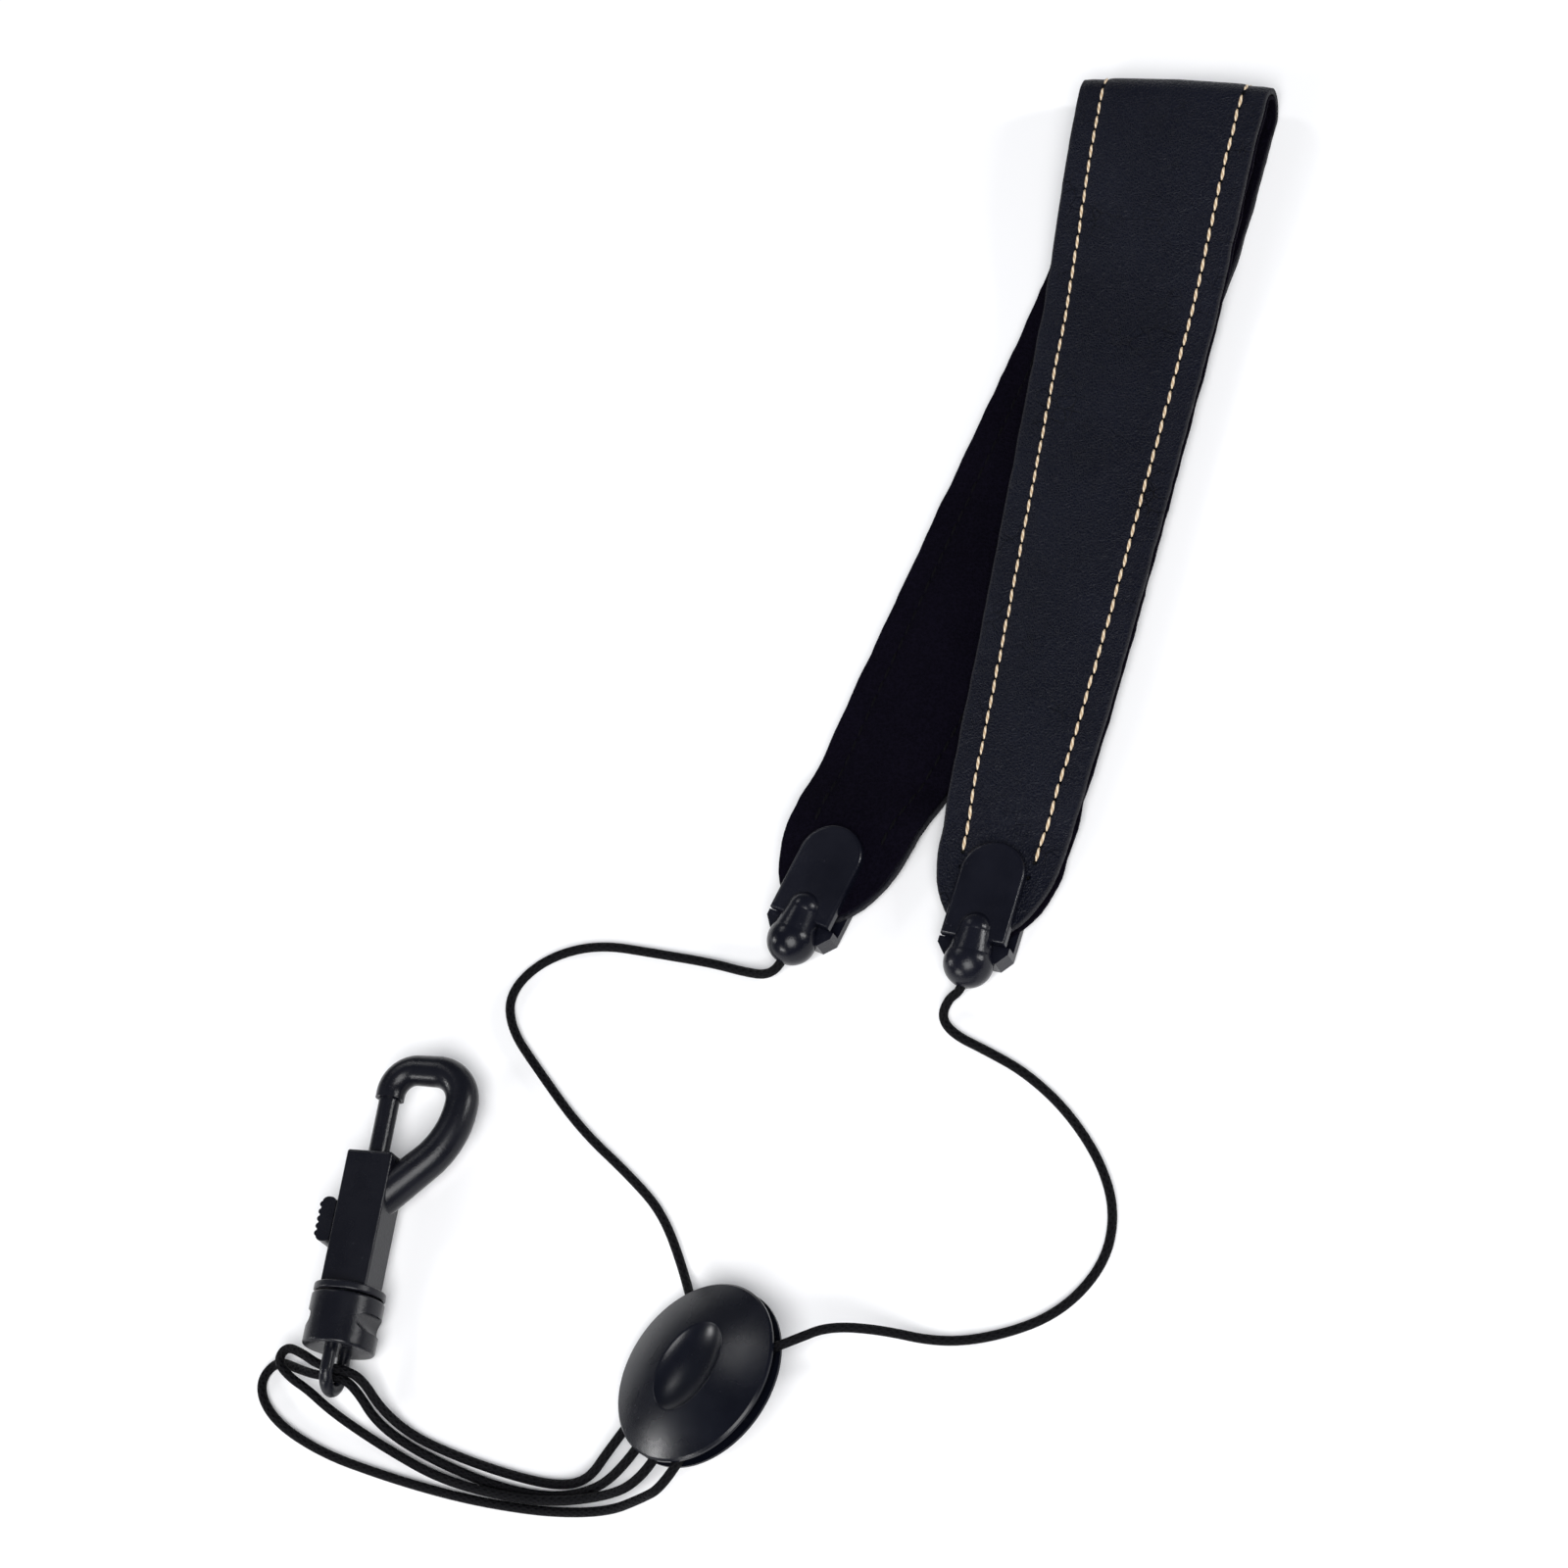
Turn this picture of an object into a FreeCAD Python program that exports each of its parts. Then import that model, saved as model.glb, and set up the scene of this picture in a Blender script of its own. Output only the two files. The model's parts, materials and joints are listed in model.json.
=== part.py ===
import FreeCAD, Part
import math
import os
from FreeCAD import Vector

# Saxophone neck strap, lying folded in half on a flat surface. Millimetres, +Z up.
# +Y runs along the front leg of the neck band towards its fold. +X is to the band's right.
# The origin is on the surface, under the middle of the band, clips, adjuster and hook.

os.makedirs("parts", exist_ok=True)

# ---- driving dimensions: neck band ----
LEATHER = 1.2
FOAM = 1.6
LINING = 0.8
BAND_T = LEATHER + FOAM + LINING
NECK_WIDTH = 43.5
END_WIDTH = 27.5
END_TAPER_LENGTH = 22.0
HALF_LENGTH = 205.0
TAPER_POWER = 0.8
FOLD_X = 54.0
FOLD_Y = 157.2
FOLD_RADIUS = 4.5
LEG_GAP = 0.3
LOOP_START_Y = 100.0
LOOP_END_Y = 150.0
BACK_SLOPE = 0.258
BACK_BEND_START = 40.0
BACK_BEND_SOFTNESS = 163.0
FRONT_SLOPE = 0.004
FRONT_END_CURL = 2.3
FRONT_CURL_START = 120.0
END_LIFT_START_Y = -7.0
END_LIFT_Y = -20.5

# ---- driving dimensions: band clips ----
JAW_FLOOR = 2.4
PLATE_T = 2.2
PLATE_HALF_WIDTH = 7.2
PLATE_STRAIGHT = 14.8
BASE_HALF_WIDTH = 7.9
BULB_RADIUS = 5.35
BULB_OFFSET = 4.7
BULB_Z = 5.4
RIDGE_RADIUS = 3.7
RIDGE_START = Vector(0, 2.3, 6.8)
KNOT_RADIUS = 2.6
KNOT_SPACE = 3.3
CORD_HOLE_RADIUS = 1.25
PIN_RADIUS = 1.1

# ---- driving dimensions: cord ----
CORD_RADIUS = 1.0
ARC_SHARE = 0.45

# ---- driving dimensions: adjuster ----
DISC_RADIUS = 19.7
DISC_CENTRE = Vector(15.6, -144.7, 10.0)
DISC_TILT = 24.2
GROOVE = 2.2
RIM_T = 0.9
RIM_CORNER = 0.4
DOME_TOP = 5.8
FLAT_TOP = 2.5
DIMPLE_CENTRE = Vector(0.2, -1.0, 6.8)
DIMPLE_SIZE = (11.4, 8.0, 4.2)
DIMPLE_LIP = 0.5
SCREW_HEAD_Z = -2.9
GUIDE_RADIUS = 7.3
TURN_RADIUS = 2.9
TURN_Y = 0.75
SCREW_RADIUS = 1.0
SCREW_PLACES = ((12.5, 0.0), (-3.0, 15.2), (-3.0, -15.2))

# ---- driving dimensions: snap hook ----
PIVOT = Vector(-65.2, -156.5, 7.8)
HOOK_TURN = 4.0
EYE_BAR = 1.4
EYE_ARC = 3.7
CAP_RADIUS = 7.8
CAP_BOTTOM = 4.9
CAP_TOP = 16.1
FLANGE_BOTTOM = 16.5
FLANGE_TOP = 18.2
BODY_HALF = 5.3
BODY_HALF_DEPTH = 4.5
BODY_TOP = 47.6
BOLT_RADIUS = 2.25
BORE_RADIUS = 2.33
BORE_BOTTOM = 21.0
BOLT_BOTTOM = 33.0
NOSE_H = 60.4
NOSE_RADIUS = 3.1
RING_LEFT_ARC = 5.6
RING_TOP_X = 9.9
RING_RIGHT_ARC = 6.9
RING_ARM_ARC = 19.0
RING_ROOT_RADIUS = 4.2
RING_ROOT_RUN = 9.6
CAP_ROOM_RADIUS = 4.3
NOTCH_RADIUS = 2.0
NOTCH_X = 7.3
NOTCH_H = 10.6
SOCKET_DEPTH = 2.6
GATE_TRAVEL = 8.0
STUD_RADIUS = 2.4
STUD_HEAD = 4.0

# ---- cord routes: points in the object's own frame ----
CORD_LEFT = [
    (10.07, -51.24, 4.9), (9.2, -54.2, 4.3), (6.4, -56.2, 3.2), (1.2, -55.7, 1.6),
    (-7.5, -54.4, 1.0), (-20.0, -53.9, 1.0), (-34.5, -53.4, 1.0), (-45.8, -58.3, 1.0),
    (-51.8, -66.8, 1.0), (-49.2, -75.0, 1.0), (-40.5, -83.2, 1.0), (-27.5, -94.8, 1.0),
    (-14.0, -103.2, 1.0), (-4.5, -110.2, 1.0), (3.22, -121.43, 1.3),
]
CORD_RIGHT = [
    (50.31, -51.23, 4.87), (49.94, -54.43, 4.19), (47.0, -56.0, 2.4), (45.9, -59.9, 1.1),
    (49.4, -63.2, 1.0), (57.0, -65.7, 1.0), (66.5, -69.3, 1.0), (77.0, -76.2, 1.0),
    (86.5, -86.2, 1.0), (91.6, -96.5, 1.0), (91.4, -107.5, 1.0), (84.5, -118.4, 1.0),
    (73.0, -125.0, 1.0), (61.5, -128.4, 1.6), (50.0, -129.0, 7.6), (41.5, -131.4, 13.6),
    (36.91, -135.99, 17.75),
]
CORD_HOOK_INNER = [
    (-1.69, -162.31, 5.28), (-5.6, -168.4, 2.4), (-12.5, -170.4, 1.0), (-24.0, -169.8, 1.0),
    (-37.0, -167.8, 1.0), (-47.5, -165.2, 1.0), (-54.5, -161.4, 3.2), (-58.6, -156.6, 7.6),
    (-62.6, -155.6, 8.65), (-68.4, -155.6, 8.6), (-73.6, -153.4, 7.4), (-78.4, -152.2, 6.0),
    (-79.8, -155.6, 5.4), (-76.2, -158.4, 4.9), (-71.6, -160.2, 4.4), (-66.4, -163.2, 3.2),
    (-59.4, -166.2, 1.4), (-50.0, -169.6, 1.0), (-39.5, -172.9, 1.8), (-28.0, -174.5, 2.9),
    (-14.0, -174.5, 2.9), (-1.0, -172.0, 5.4), (8.2, -168.79, 10.43),
]
CORD_HOOK_OUTER = [
    (2.99, -166.2, 7.84), (-3.6, -170.4, 3.2), (-13.0, -173.0, 1.0), (-25.0, -172.8, 1.0),
    (-37.5, -170.4, 1.0), (-48.0, -167.4, 1.0), (-55.6, -163.8, 2.2), (-59.6, -159.2, 5.4),
    (-63.0, -157.0, 7.05), (-69.0, -157.4, 7.05), (-75.6, -156.0, 3.2), (-82.2, -154.4, 1.0),
    (-85.0, -160.4, 1.0), (-79.4, -167.2, 1.0), (-66.5, -172.2, 1.0), (-51.0, -174.6, 1.0),
    (-37.0, -176.0, 1.0), (-25.0, -176.4, 1.0), (-12.0, -175.9, 1.0), (0.5, -174.0, 2.8),
    (9.0, -171.2, 8.4), (14.6, -169.24, 13.21),
]


def save(node, shape):
    """Write one sub-part and say what it is."""
    shape.exportStep("parts/" + node + ".step")
    box = shape.BoundBox
    print(
        f"{node:24s} solids {len(shape.Solids)} valid {shape.isValid()} volume {shape.Volume:9.1f}"
        f"  x {box.XMin:7.1f} {box.XMax:7.1f}  y {box.YMin:7.1f} {box.YMax:7.1f}"
        f"  z {box.ZMin:6.2f} {box.ZMax:6.2f}"
    )


def frame(origin, x_axis, y_axis):
    """A placement whose local X and Y lie along the two directions."""
    z_axis = x_axis.cross(y_axis)
    return FreeCAD.Placement(origin, FreeCAD.Rotation(x_axis, y_axis, z_axis, "XZY"))


def placed(shape, placement):
    moved = shape.copy()
    moved.transformShape(placement.toMatrix(), True)
    return moved


def cylinder(radius, start, end):
    axis = end - start
    return Part.makeCylinder(radius, axis.Length, start, axis)


def box(low, high):
    size = high - low
    return Part.makeBox(size.x, size.y, size.z, low)


# ---- cord ----

def tube(points, name):
    """A round cord along straight runs joined by tangent arcs."""
    edges = []
    length = 0.0
    radii = []
    last = points[0]
    for before, corner, after in zip(points, points[1:], points[2:]):
        inward = (corner - before).normalize()
        outward = (after - corner).normalize()
        half_turn = inward.getAngle(outward) / 2
        setback = ARC_SHARE * min((corner - before).Length, (after - corner).Length)
        radius = setback / math.tan(half_turn)
        radii.append(radius)
        start = corner - inward * setback
        end = corner + outward * setback
        bisector = (outward - inward).normalize()
        depth = radius / math.cos(half_turn) - radius
        middle = corner + bisector * depth
        edges.append(Part.LineSegment(last, start).toShape())
        edges.append(Part.Arc(start, middle, end).toShape())
        length += (start - last).Length + 2 * half_turn * radius
        last = end
    edges.append(Part.LineSegment(last, points[-1]).toShape())
    length += (points[-1] - last).Length
    path = Part.Wire(edges)
    direction = (points[1] - points[0]).normalize()
    circle = Part.Wire([Part.Circle(points[0], direction, CORD_RADIUS).toShape()])
    solid = path.makePipeShell([circle], True, False)
    expected = math.pi * CORD_RADIUS ** 2 * length
    print(
        f"{name}: length {length:.1f}, smallest radii {[round(r, 1) for r in sorted(radii)[:5]]},"
        f" volume ratio {solid.Volume / expected:.4f}"
    )
    return solid


# ---- neck band ----

def smooth_step(value):
    share = min(max(value, 0.0), 1.0)
    return share * share * (3 - 2 * share)


def front_x(y):
    down = FOLD_Y - y
    curl = max(0.0, (down - FRONT_CURL_START) / (HALF_LENGTH - FRONT_CURL_START))
    return FOLD_X - FRONT_SLOPE * down - FRONT_END_CURL * curl * curl


def back_x(y):
    past = FOLD_Y - y - BACK_BEND_START
    return FOLD_X - BACK_SLOPE / 2 * (past + math.sqrt(past * past + BACK_BEND_SOFTNESS))


def front_z(y):
    """Height of the middle of the front leg, which lies on the back leg."""
    resting = BAND_T + LEG_GAP + BAND_T / 2
    top = BAND_T / 2 + 2 * FOLD_RADIUS
    loop = smooth_step((y - LOOP_START_Y) / (LOOP_END_Y - LOOP_START_Y))
    drop = smooth_step((END_LIFT_START_Y - y) / (END_LIFT_START_Y - END_LIFT_Y))
    return resting + (top - resting) * loop - (BAND_T + LEG_GAP - JAW_FLOOR) * drop


def back_z(y):
    lift = smooth_step((END_LIFT_START_Y - y) / (END_LIFT_START_Y - END_LIFT_Y))
    return BAND_T / 2 + JAW_FLOOR * lift


LEG_STATIONS = [-42.7, -41.6, -39.0, -35.0, -30.0, -25.0, END_LIFT_Y, -17.0, -13.5, -10.0, -5.0, 10.0, 30.0,
                50.0, 70.0, 88.0, 100.0, 110.0, 120.0, 130.0, 140.0, 149.0, FOLD_Y]
FOLD_STEPS = 6


def band_stations():
    """Centre, width direction and leather-side normal at each station, from end to end."""
    centres = [Vector(front_x(y), y, front_z(y)) for y in LEG_STATIONS]
    for step in range(1, FOLD_STEPS):
        angle = math.pi * step / FOLD_STEPS
        y = FOLD_Y + FOLD_RADIUS * math.sin(angle)
        z = BAND_T / 2 + FOLD_RADIUS + FOLD_RADIUS * math.cos(angle)
        centres.append(Vector(FOLD_X, y, z))
    centres += [Vector(back_x(y), y, back_z(y)) for y in reversed(LEG_STATIONS)]
    across = Vector(1, 0, 0)
    stations = []
    for index, centre in enumerate(centres):
        before = centres[max(index - 1, 0)]
        after = centres[min(index + 1, len(centres) - 1)]
        along = (after - before).normalize()
        width_way = (across - along * across.dot(along)).normalize()
        stations.append((centre, width_way, width_way.cross(along)))
    return stations


def band_width(distance):
    """Width at a distance along the band from its nearer end."""
    share = max(0.0, (distance - END_TAPER_LENGTH) / (HALF_LENGTH - END_TAPER_LENGTH))
    width = END_WIDTH + (NECK_WIDTH - END_WIDTH) * min(share, 1.0) ** TAPER_POWER
    rounding = max(0.0, 1 - (distance + 0.4) / END_TAPER_LENGTH)
    return width * math.sqrt(1 - rounding * rounding)


def band_layers():
    """The leather, foam and lining, one ruled solid each, meeting face to face."""
    stations = band_stations()
    run = [0.0]
    for here, there in zip(stations, stations[1:]):
        run.append(run[-1] + (there[0] - here[0]).Length)
    levels = {
        "leather_band": (BAND_T / 2 - LEATHER, BAND_T / 2),
        "foam_core": (LINING - BAND_T / 2, BAND_T / 2 - LEATHER),
        "soft_lining": (-BAND_T / 2, LINING - BAND_T / 2),
    }
    print("band length", round(run[-1], 1))
    layers = {}
    for node, (low, high) in levels.items():
        wires = []
        for (centre, width_way, normal), distance in zip(stations, run):
            half = band_width(min(distance, run[-1] - distance)) / 2
            corners = [
                centre - width_way * half + normal * low,
                centre + width_way * half + normal * low,
                centre + width_way * half + normal * high,
                centre - width_way * half + normal * high,
            ]
            wires.append(Part.makePolygon(corners + [corners[0]]))
        layers[node] = Part.makeLoft(wires, True, True)
    return layers


# ---- band clips: local X across, local Y back along the band, Z up, flat end at Y = 0 ----

def d_plate(half_width, straight, low, high):
    """A flat plate with one square end at Y = 0 and one round end."""
    slab = box(Vector(-half_width, 0, low), Vector(half_width, straight, high))
    round_end = cylinder(half_width, Vector(0, straight, low), Vector(0, straight, high))
    return slab.fuse(round_end).removeSplitter()


def top_edges(shape, z):
    level = [e for e in shape.Edges if e.BoundBox.ZLength < 0.01]
    return [e for e in level if abs(e.Vertexes[0].Z - z) < 0.001]


def clip_pieces(exit_way):
    """The four pieces of one clip. exit_way is the local direction of the cord hole."""
    bulb_centre = Vector(0, -BULB_OFFSET, BULB_Z)
    plate_low = JAW_FLOOR + BAND_T
    plate = d_plate(PLATE_HALF_WIDTH, PLATE_STRAIGHT, plate_low, plate_low + PLATE_T)
    plate = plate.makeFillet(0.8, top_edges(plate, plate_low + PLATE_T))
    run = bulb_centre - RIDGE_START
    ridge = Part.makeCone(RIDGE_RADIUS, BULB_RADIUS - 0.12, run.Length, RIDGE_START, run)
    ridge = ridge.fuse(Part.makeSphere(RIDGE_RADIUS, RIDGE_START))
    ridge = ridge.common(box(Vector(-7, -BULB_OFFSET, plate_low), Vector(7, 8, 12)))
    bulb = Part.makeSphere(BULB_RADIUS, bulb_centre)
    top_jaw = plate.fuse([ridge, bulb])
    top_jaw = top_jaw.cut(Part.makeSphere(KNOT_SPACE, bulb_centre))
    top_jaw = top_jaw.cut(cylinder(CORD_HOLE_RADIUS, bulb_centre, bulb_centre + exit_way * 8))

    base = d_plate(BASE_HALF_WIDTH, PLATE_STRAIGHT - 2.5, 0, JAW_FLOOR)
    outline = [
        Vector(-BASE_HALF_WIDTH, 0, 0), Vector(BASE_HALF_WIDTH, 0, 0), Vector(BASE_HALF_WIDTH, -1.4, 0),
        Vector(5.8, -3.9, 0), Vector(-5.8, -3.9, 0), Vector(-BASE_HALF_WIDTH, -1.4, 0),
    ]
    end_block = Part.Face(Part.makePolygon(outline + [outline[0]])).extrude(Vector(0, 0, plate_low - 0.3))
    base = base.fuse(end_block).removeSplitter()
    base = base.makeChamfer(0.5, [e for e in base.Edges if all(v.Z < 0.001 for v in e.Vertexes)])
    base = base.cut(Part.makeSphere(BULB_RADIUS, bulb_centre))

    pins = []
    for side in (-4.4, 4.4):
        pins.append(cylinder(PIN_RADIUS, Vector(side, 6.5, 1.0), Vector(side, 6.5, plate_low + 1.2)))
    top_jaw = top_jaw.cut(pins)
    base = base.cut(pins)
    knot = Part.makeSphere(KNOT_RADIUS, bulb_centre)
    return {"top_jaw": top_jaw, "base_jaw": base, "pins": Part.makeCompound(pins), "cord_knot": knot}


def clip_frame(end_x, turn):
    """Placement of a clip whose cord end points down the band, turned about Z by turn degrees."""
    back = Vector(math.sin(math.radians(turn)), math.cos(math.radians(turn)), 0)
    return frame(Vector(end_x, -44.0, 0), Vector(back.y, -back.x, 0), back)


# ---- adjuster: local X along the cords, local Y down the tilt, local Z out of the front cover ----

def dome(inner_z, rim_z, top_z):
    """A round cover: flat inner face, upright rim and a low domed outside."""
    rim_low = rim_z - RIM_CORNER
    start = Vector(DISC_RADIUS - RIM_CORNER, 0, rim_z)
    top = Vector(FLAT_TOP, 0, top_z)
    share = 0.55
    bow = Vector(start.x * share, 0, rim_z + (top_z - rim_z) * (1 - share * share))
    profile = Part.Wire([
        Part.LineSegment(top, Vector(0, 0, top_z)).toShape(),
        Part.LineSegment(Vector(0, 0, top_z), Vector(0, 0, inner_z)).toShape(),
        Part.LineSegment(Vector(0, 0, inner_z), Vector(DISC_RADIUS, 0, inner_z)).toShape(),
        Part.LineSegment(Vector(DISC_RADIUS, 0, inner_z), Vector(DISC_RADIUS, 0, rim_low)).toShape(),
        Part.LineSegment(Vector(DISC_RADIUS, 0, rim_low), start).toShape(),
        Part.Arc(start, bow, top).toShape(),
    ])
    return Part.Face(profile).revolve(Vector(0, 0, 0), Vector(0, 0, 1), 360)


def ellipsoid(centre, sizes):
    stretch = FreeCAD.Matrix()
    stretch.scale(*sizes)
    ball = Part.makeSphere(1.0).transformGeometry(stretch)
    ball.translate(centre)
    return ball


def adjuster_pieces():
    half = GROOVE / 2
    front = dome(half, half + RIM_T, DOME_TOP)
    front = front.cut(ellipsoid(DIMPLE_CENTRE, DIMPLE_SIZE))
    lip = [e for e in front.Edges if e.BoundBox.ZMin > half + RIM_T + 1 and e.Length > 20]
    front = front.makeFillet(DIMPLE_LIP, lip)
    back = dome(half, half + RIM_T, DOME_TOP)
    back.rotate(Vector(0, 0, 0), Vector(1, 0, 0), 180)
    screws = []
    for x, y in SCREW_PLACES:
        front = front.fuse(cylinder(2.0, Vector(x, y, -half), Vector(x, y, half + 0.2)))
        under = Vector(x, y, SCREW_HEAD_Z)
        screw = cylinder(SCREW_RADIUS, under, Vector(x, y, half + 0.8))
        head = Part.makeCone(2.0, SCREW_RADIUS, 1.2, under, Vector(0, 0, 1))
        socket = Part.makeBox(2.2, 0.5, 0.6, under - Vector(1.1, 0.25, 0))
        space = cylinder(2.0, Vector(x, y, -8), under)
        screw = screw.fuse(head).removeSplitter()
        back = back.cut([space, screw])
        front = front.cut(screw)
        screws.append(screw.cut(socket))
    slot = box(Vector(-12, TURN_Y - 4.2, -5), Vector(0, TURN_Y + 4.2, 5))
    slot = slot.fuse(cylinder(4.2, Vector(0, TURN_Y, -5), Vector(0, TURN_Y, 5)))
    guide = cylinder(GUIDE_RADIUS, Vector(0, 0, -half), Vector(0, 0, half)).cut(slot)
    post = box(Vector(-7.0, TURN_Y - 1.6, -half), Vector(0, TURN_Y + 1.6, half))
    for x in (-7.0, 0.0):
        post = post.fuse(cylinder(1.6, Vector(x, TURN_Y, -half), Vector(x, TURN_Y, half)))
    turn_low = TURN_Y - TURN_RADIUS
    turn_high = TURN_Y + TURN_RADIUS
    spans = [
        [LOCAL_EXITS["left"], (9.0, 8.8), (-4.0, 8.6), (-10.2, 9.7), LOCAL_EXITS["inner_start"]],
        [LOCAL_EXITS["outer_start"], (-11.0, turn_high), (TURN_RADIUS, turn_high), (TURN_RADIUS, turn_low),
         (-11.0, turn_low), LOCAL_EXITS["inner_end"]],
        [LOCAL_EXITS["outer_end"], (-11.0, -8.4), (-3.0, -9.4), (8.4, -10.6), LOCAL_EXITS["right"]],
    ]
    tubes = [tube([Vector(x, y, 0) for x, y in span], "adjuster span") for span in spans]
    return {
        "adjuster_front_cover": front,
        "adjuster_back_cover": back,
        "adjuster_guide_ring": guide,
        "adjuster_turn_post": post.removeSplitter(),
        "adjuster_screws": Part.makeCompound(screws),
        "adjuster_cord_spans": Part.makeCompound(tubes),
    }


# ---- snap hook: local X to its ring side, local Y up its axis from the eye, Z up ----

def eye_loop():
    edges = [
        Part.LineSegment(Vector(0, 7.0, -EYE_ARC), Vector(0, 0, -EYE_ARC)).toShape(),
        Part.Arc(Vector(0, 0, -EYE_ARC), Vector(0, -EYE_ARC, 0), Vector(0, 0, EYE_ARC)).toShape(),
        Part.LineSegment(Vector(0, 0, EYE_ARC), Vector(0, 7.0, EYE_ARC)).toShape(),
    ]
    circle = Part.Wire([Part.Circle(Vector(0, 7.0, -EYE_ARC), Vector(0, -1, 0), EYE_BAR).toShape()])
    return Part.Wire(edges).makePipeShell([circle], True, False)


def on_axis(radius, low, high):
    return cylinder(radius, Vector(0, low, 0), Vector(0, high, 0))


def swivel_cap(loop):
    cap = on_axis(CAP_RADIUS, CAP_BOTTOM, CAP_TOP)
    cap = cap.makeFillet(0.6, [e for e in cap.Edges if e.Closed])
    cap = cap.cut([on_axis(CAP_ROOM_RADIUS, 7.7, 13.3), on_axis(STUD_RADIUS + 0.2, 13.0, 17.0)])
    low = NOTCH_H - NOTCH_RADIUS
    high = NOTCH_H + NOTCH_RADIUS
    for left, right, centre in ((-9, -NOTCH_X, -NOTCH_X), (NOTCH_X, 9, NOTCH_X)):
        notch = cylinder(NOTCH_RADIUS, Vector(centre, NOTCH_H, -9), Vector(centre, NOTCH_H, 9))
        cap = cap.cut(notch.fuse(box(Vector(left, low, -9), Vector(right, high, 9))))
    return cap.cut(loop)


def ring():
    """The round hook ring, from the nose over the top and down into the body's side."""
    corner_h = NOSE_H + 1.3
    top_h = corner_h + RING_LEFT_ARC
    right_x = RING_TOP_X + RING_RIGHT_ARC
    side_h = top_h - RING_RIGHT_ARC
    half = math.sqrt(0.5)
    arm_middle = (math.cos(math.radians(22.5)), math.sin(math.radians(22.5)))
    arm_x = right_x - RING_ARM_ARC
    arm_end = Vector(arm_x + RING_ARM_ARC * half, side_h - RING_ARM_ARC * half, 0)
    foot = arm_end - Vector(RING_ROOT_RUN, RING_ROOT_RUN, 0)
    path = Part.Wire([
        Part.LineSegment(Vector(0, NOSE_H, 0), Vector(0, corner_h, 0)).toShape(),
        Part.Arc(
            Vector(0, corner_h, 0),
            Vector(RING_LEFT_ARC * (1 - half), corner_h + RING_LEFT_ARC * half, 0),
            Vector(RING_LEFT_ARC, top_h, 0),
        ).toShape(),
        Part.LineSegment(Vector(RING_LEFT_ARC, top_h, 0), Vector(RING_TOP_X, top_h, 0)).toShape(),
        Part.Arc(
            Vector(RING_TOP_X, top_h, 0),
            Vector(RING_TOP_X + RING_RIGHT_ARC * half, side_h + RING_RIGHT_ARC * half, 0),
            Vector(right_x, side_h, 0),
        ).toShape(),
        Part.Arc(
            Vector(right_x, side_h, 0),
            Vector(arm_x + RING_ARM_ARC * arm_middle[0], side_h - RING_ARM_ARC * arm_middle[1], 0),
            arm_end,
        ).toShape(),
        Part.LineSegment(arm_end, foot).toShape(),
    ])
    nose = Part.Wire([Part.Circle(Vector(0, NOSE_H, 0), Vector(0, 1, 0), NOSE_RADIUS).toShape()])
    root = Part.Wire([Part.Circle(foot, Vector(-1, -1, 0), RING_ROOT_RADIUS).toShape()])
    return path.makePipeShell([nose, root], True, False)


def hook_body():
    body = box(Vector(-BODY_HALF, FLANGE_TOP, -BODY_HALF_DEPTH), Vector(BODY_HALF, BODY_TOP, BODY_HALF_DEPTH))
    long_edges = [e for e in body.Edges if abs(e.Vertexes[0].Y - e.Vertexes[1].Y) > 1]
    top = [e for e in body.Edges if all(abs(v.Y - BODY_TOP) < 0.001 for v in e.Vertexes)]
    body = body.makeFillet(0.6, long_edges + top)
    flange = on_axis(CAP_RADIUS - 0.1, FLANGE_BOTTOM, FLANGE_TOP)
    flange = flange.makeFillet(0.4, [e for e in flange.Edges if e.Closed])
    body = body.fuse([flange, ring()])
    slot = box(Vector(-8, BOLT_BOTTOM + 0.3 - GATE_TRAVEL, -1.35), Vector(0, BOLT_BOTTOM + 4.4, 1.35))
    body = body.cut([
        on_axis(BORE_RADIUS, BORE_BOTTOM, BODY_TOP + 1),
        slot,
        on_axis(BORE_RADIUS + 0.1, NOSE_H - 1, NOSE_H + SOCKET_DEPTH),
        on_axis(STUD_RADIUS, FLANGE_BOTTOM - 1, 19.5),
    ])
    return body


def swivel_stud():
    shaft = on_axis(STUD_RADIUS, 11.0, 19.5)
    head = on_axis(STUD_HEAD, 9.6, 12.6)
    head = head.makeFillet(0.5, [e for e in head.Edges if e.Closed])
    return shaft.fuse(head).removeSplitter()


def thumb_slider():
    low = 27.4
    high = 37.2
    block = box(Vector(-9.3, low, -2.8), Vector(-6.1, high, 2.8))
    block = block.makeFillet(1.3, [e for e in block.Edges if e.BoundBox.ZLength > 5])
    for step in range(5):
        ridge_h = low + 1.7 + step * (high - low - 3.4) / 4
        block = block.fuse(cylinder(0.65, Vector(-9.2, ridge_h, -2.6), Vector(-9.2, ridge_h, 2.6)))
    stem = box(Vector(-6.6, BOLT_BOTTOM + 0.6, -1.2), Vector(-1.0, BOLT_BOTTOM + 4.2, 1.2))
    return block.fuse(stem).removeSplitter()


def gate_spring():
    turns = 7
    wire_radius = 0.28
    coil_radius = 1.9
    height = BOLT_BOTTOM - BORE_BOTTOM - 2 * wire_radius - 0.1
    helix = Part.makeHelix(height / turns, height, coil_radius)
    circle = Part.Wire([Part.Circle(Vector(coil_radius, 0, 0), Vector(0, 1, 0), wire_radius).toShape()])
    coil = Part.Wire(helix.Edges).makePipeShell([circle], True, True)
    coil.rotate(Vector(0, 0, 0), Vector(1, 0, 0), -90)
    coil.translate(Vector(0, BORE_BOTTOM + wire_radius + 0.05, 0))
    return coil


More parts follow.
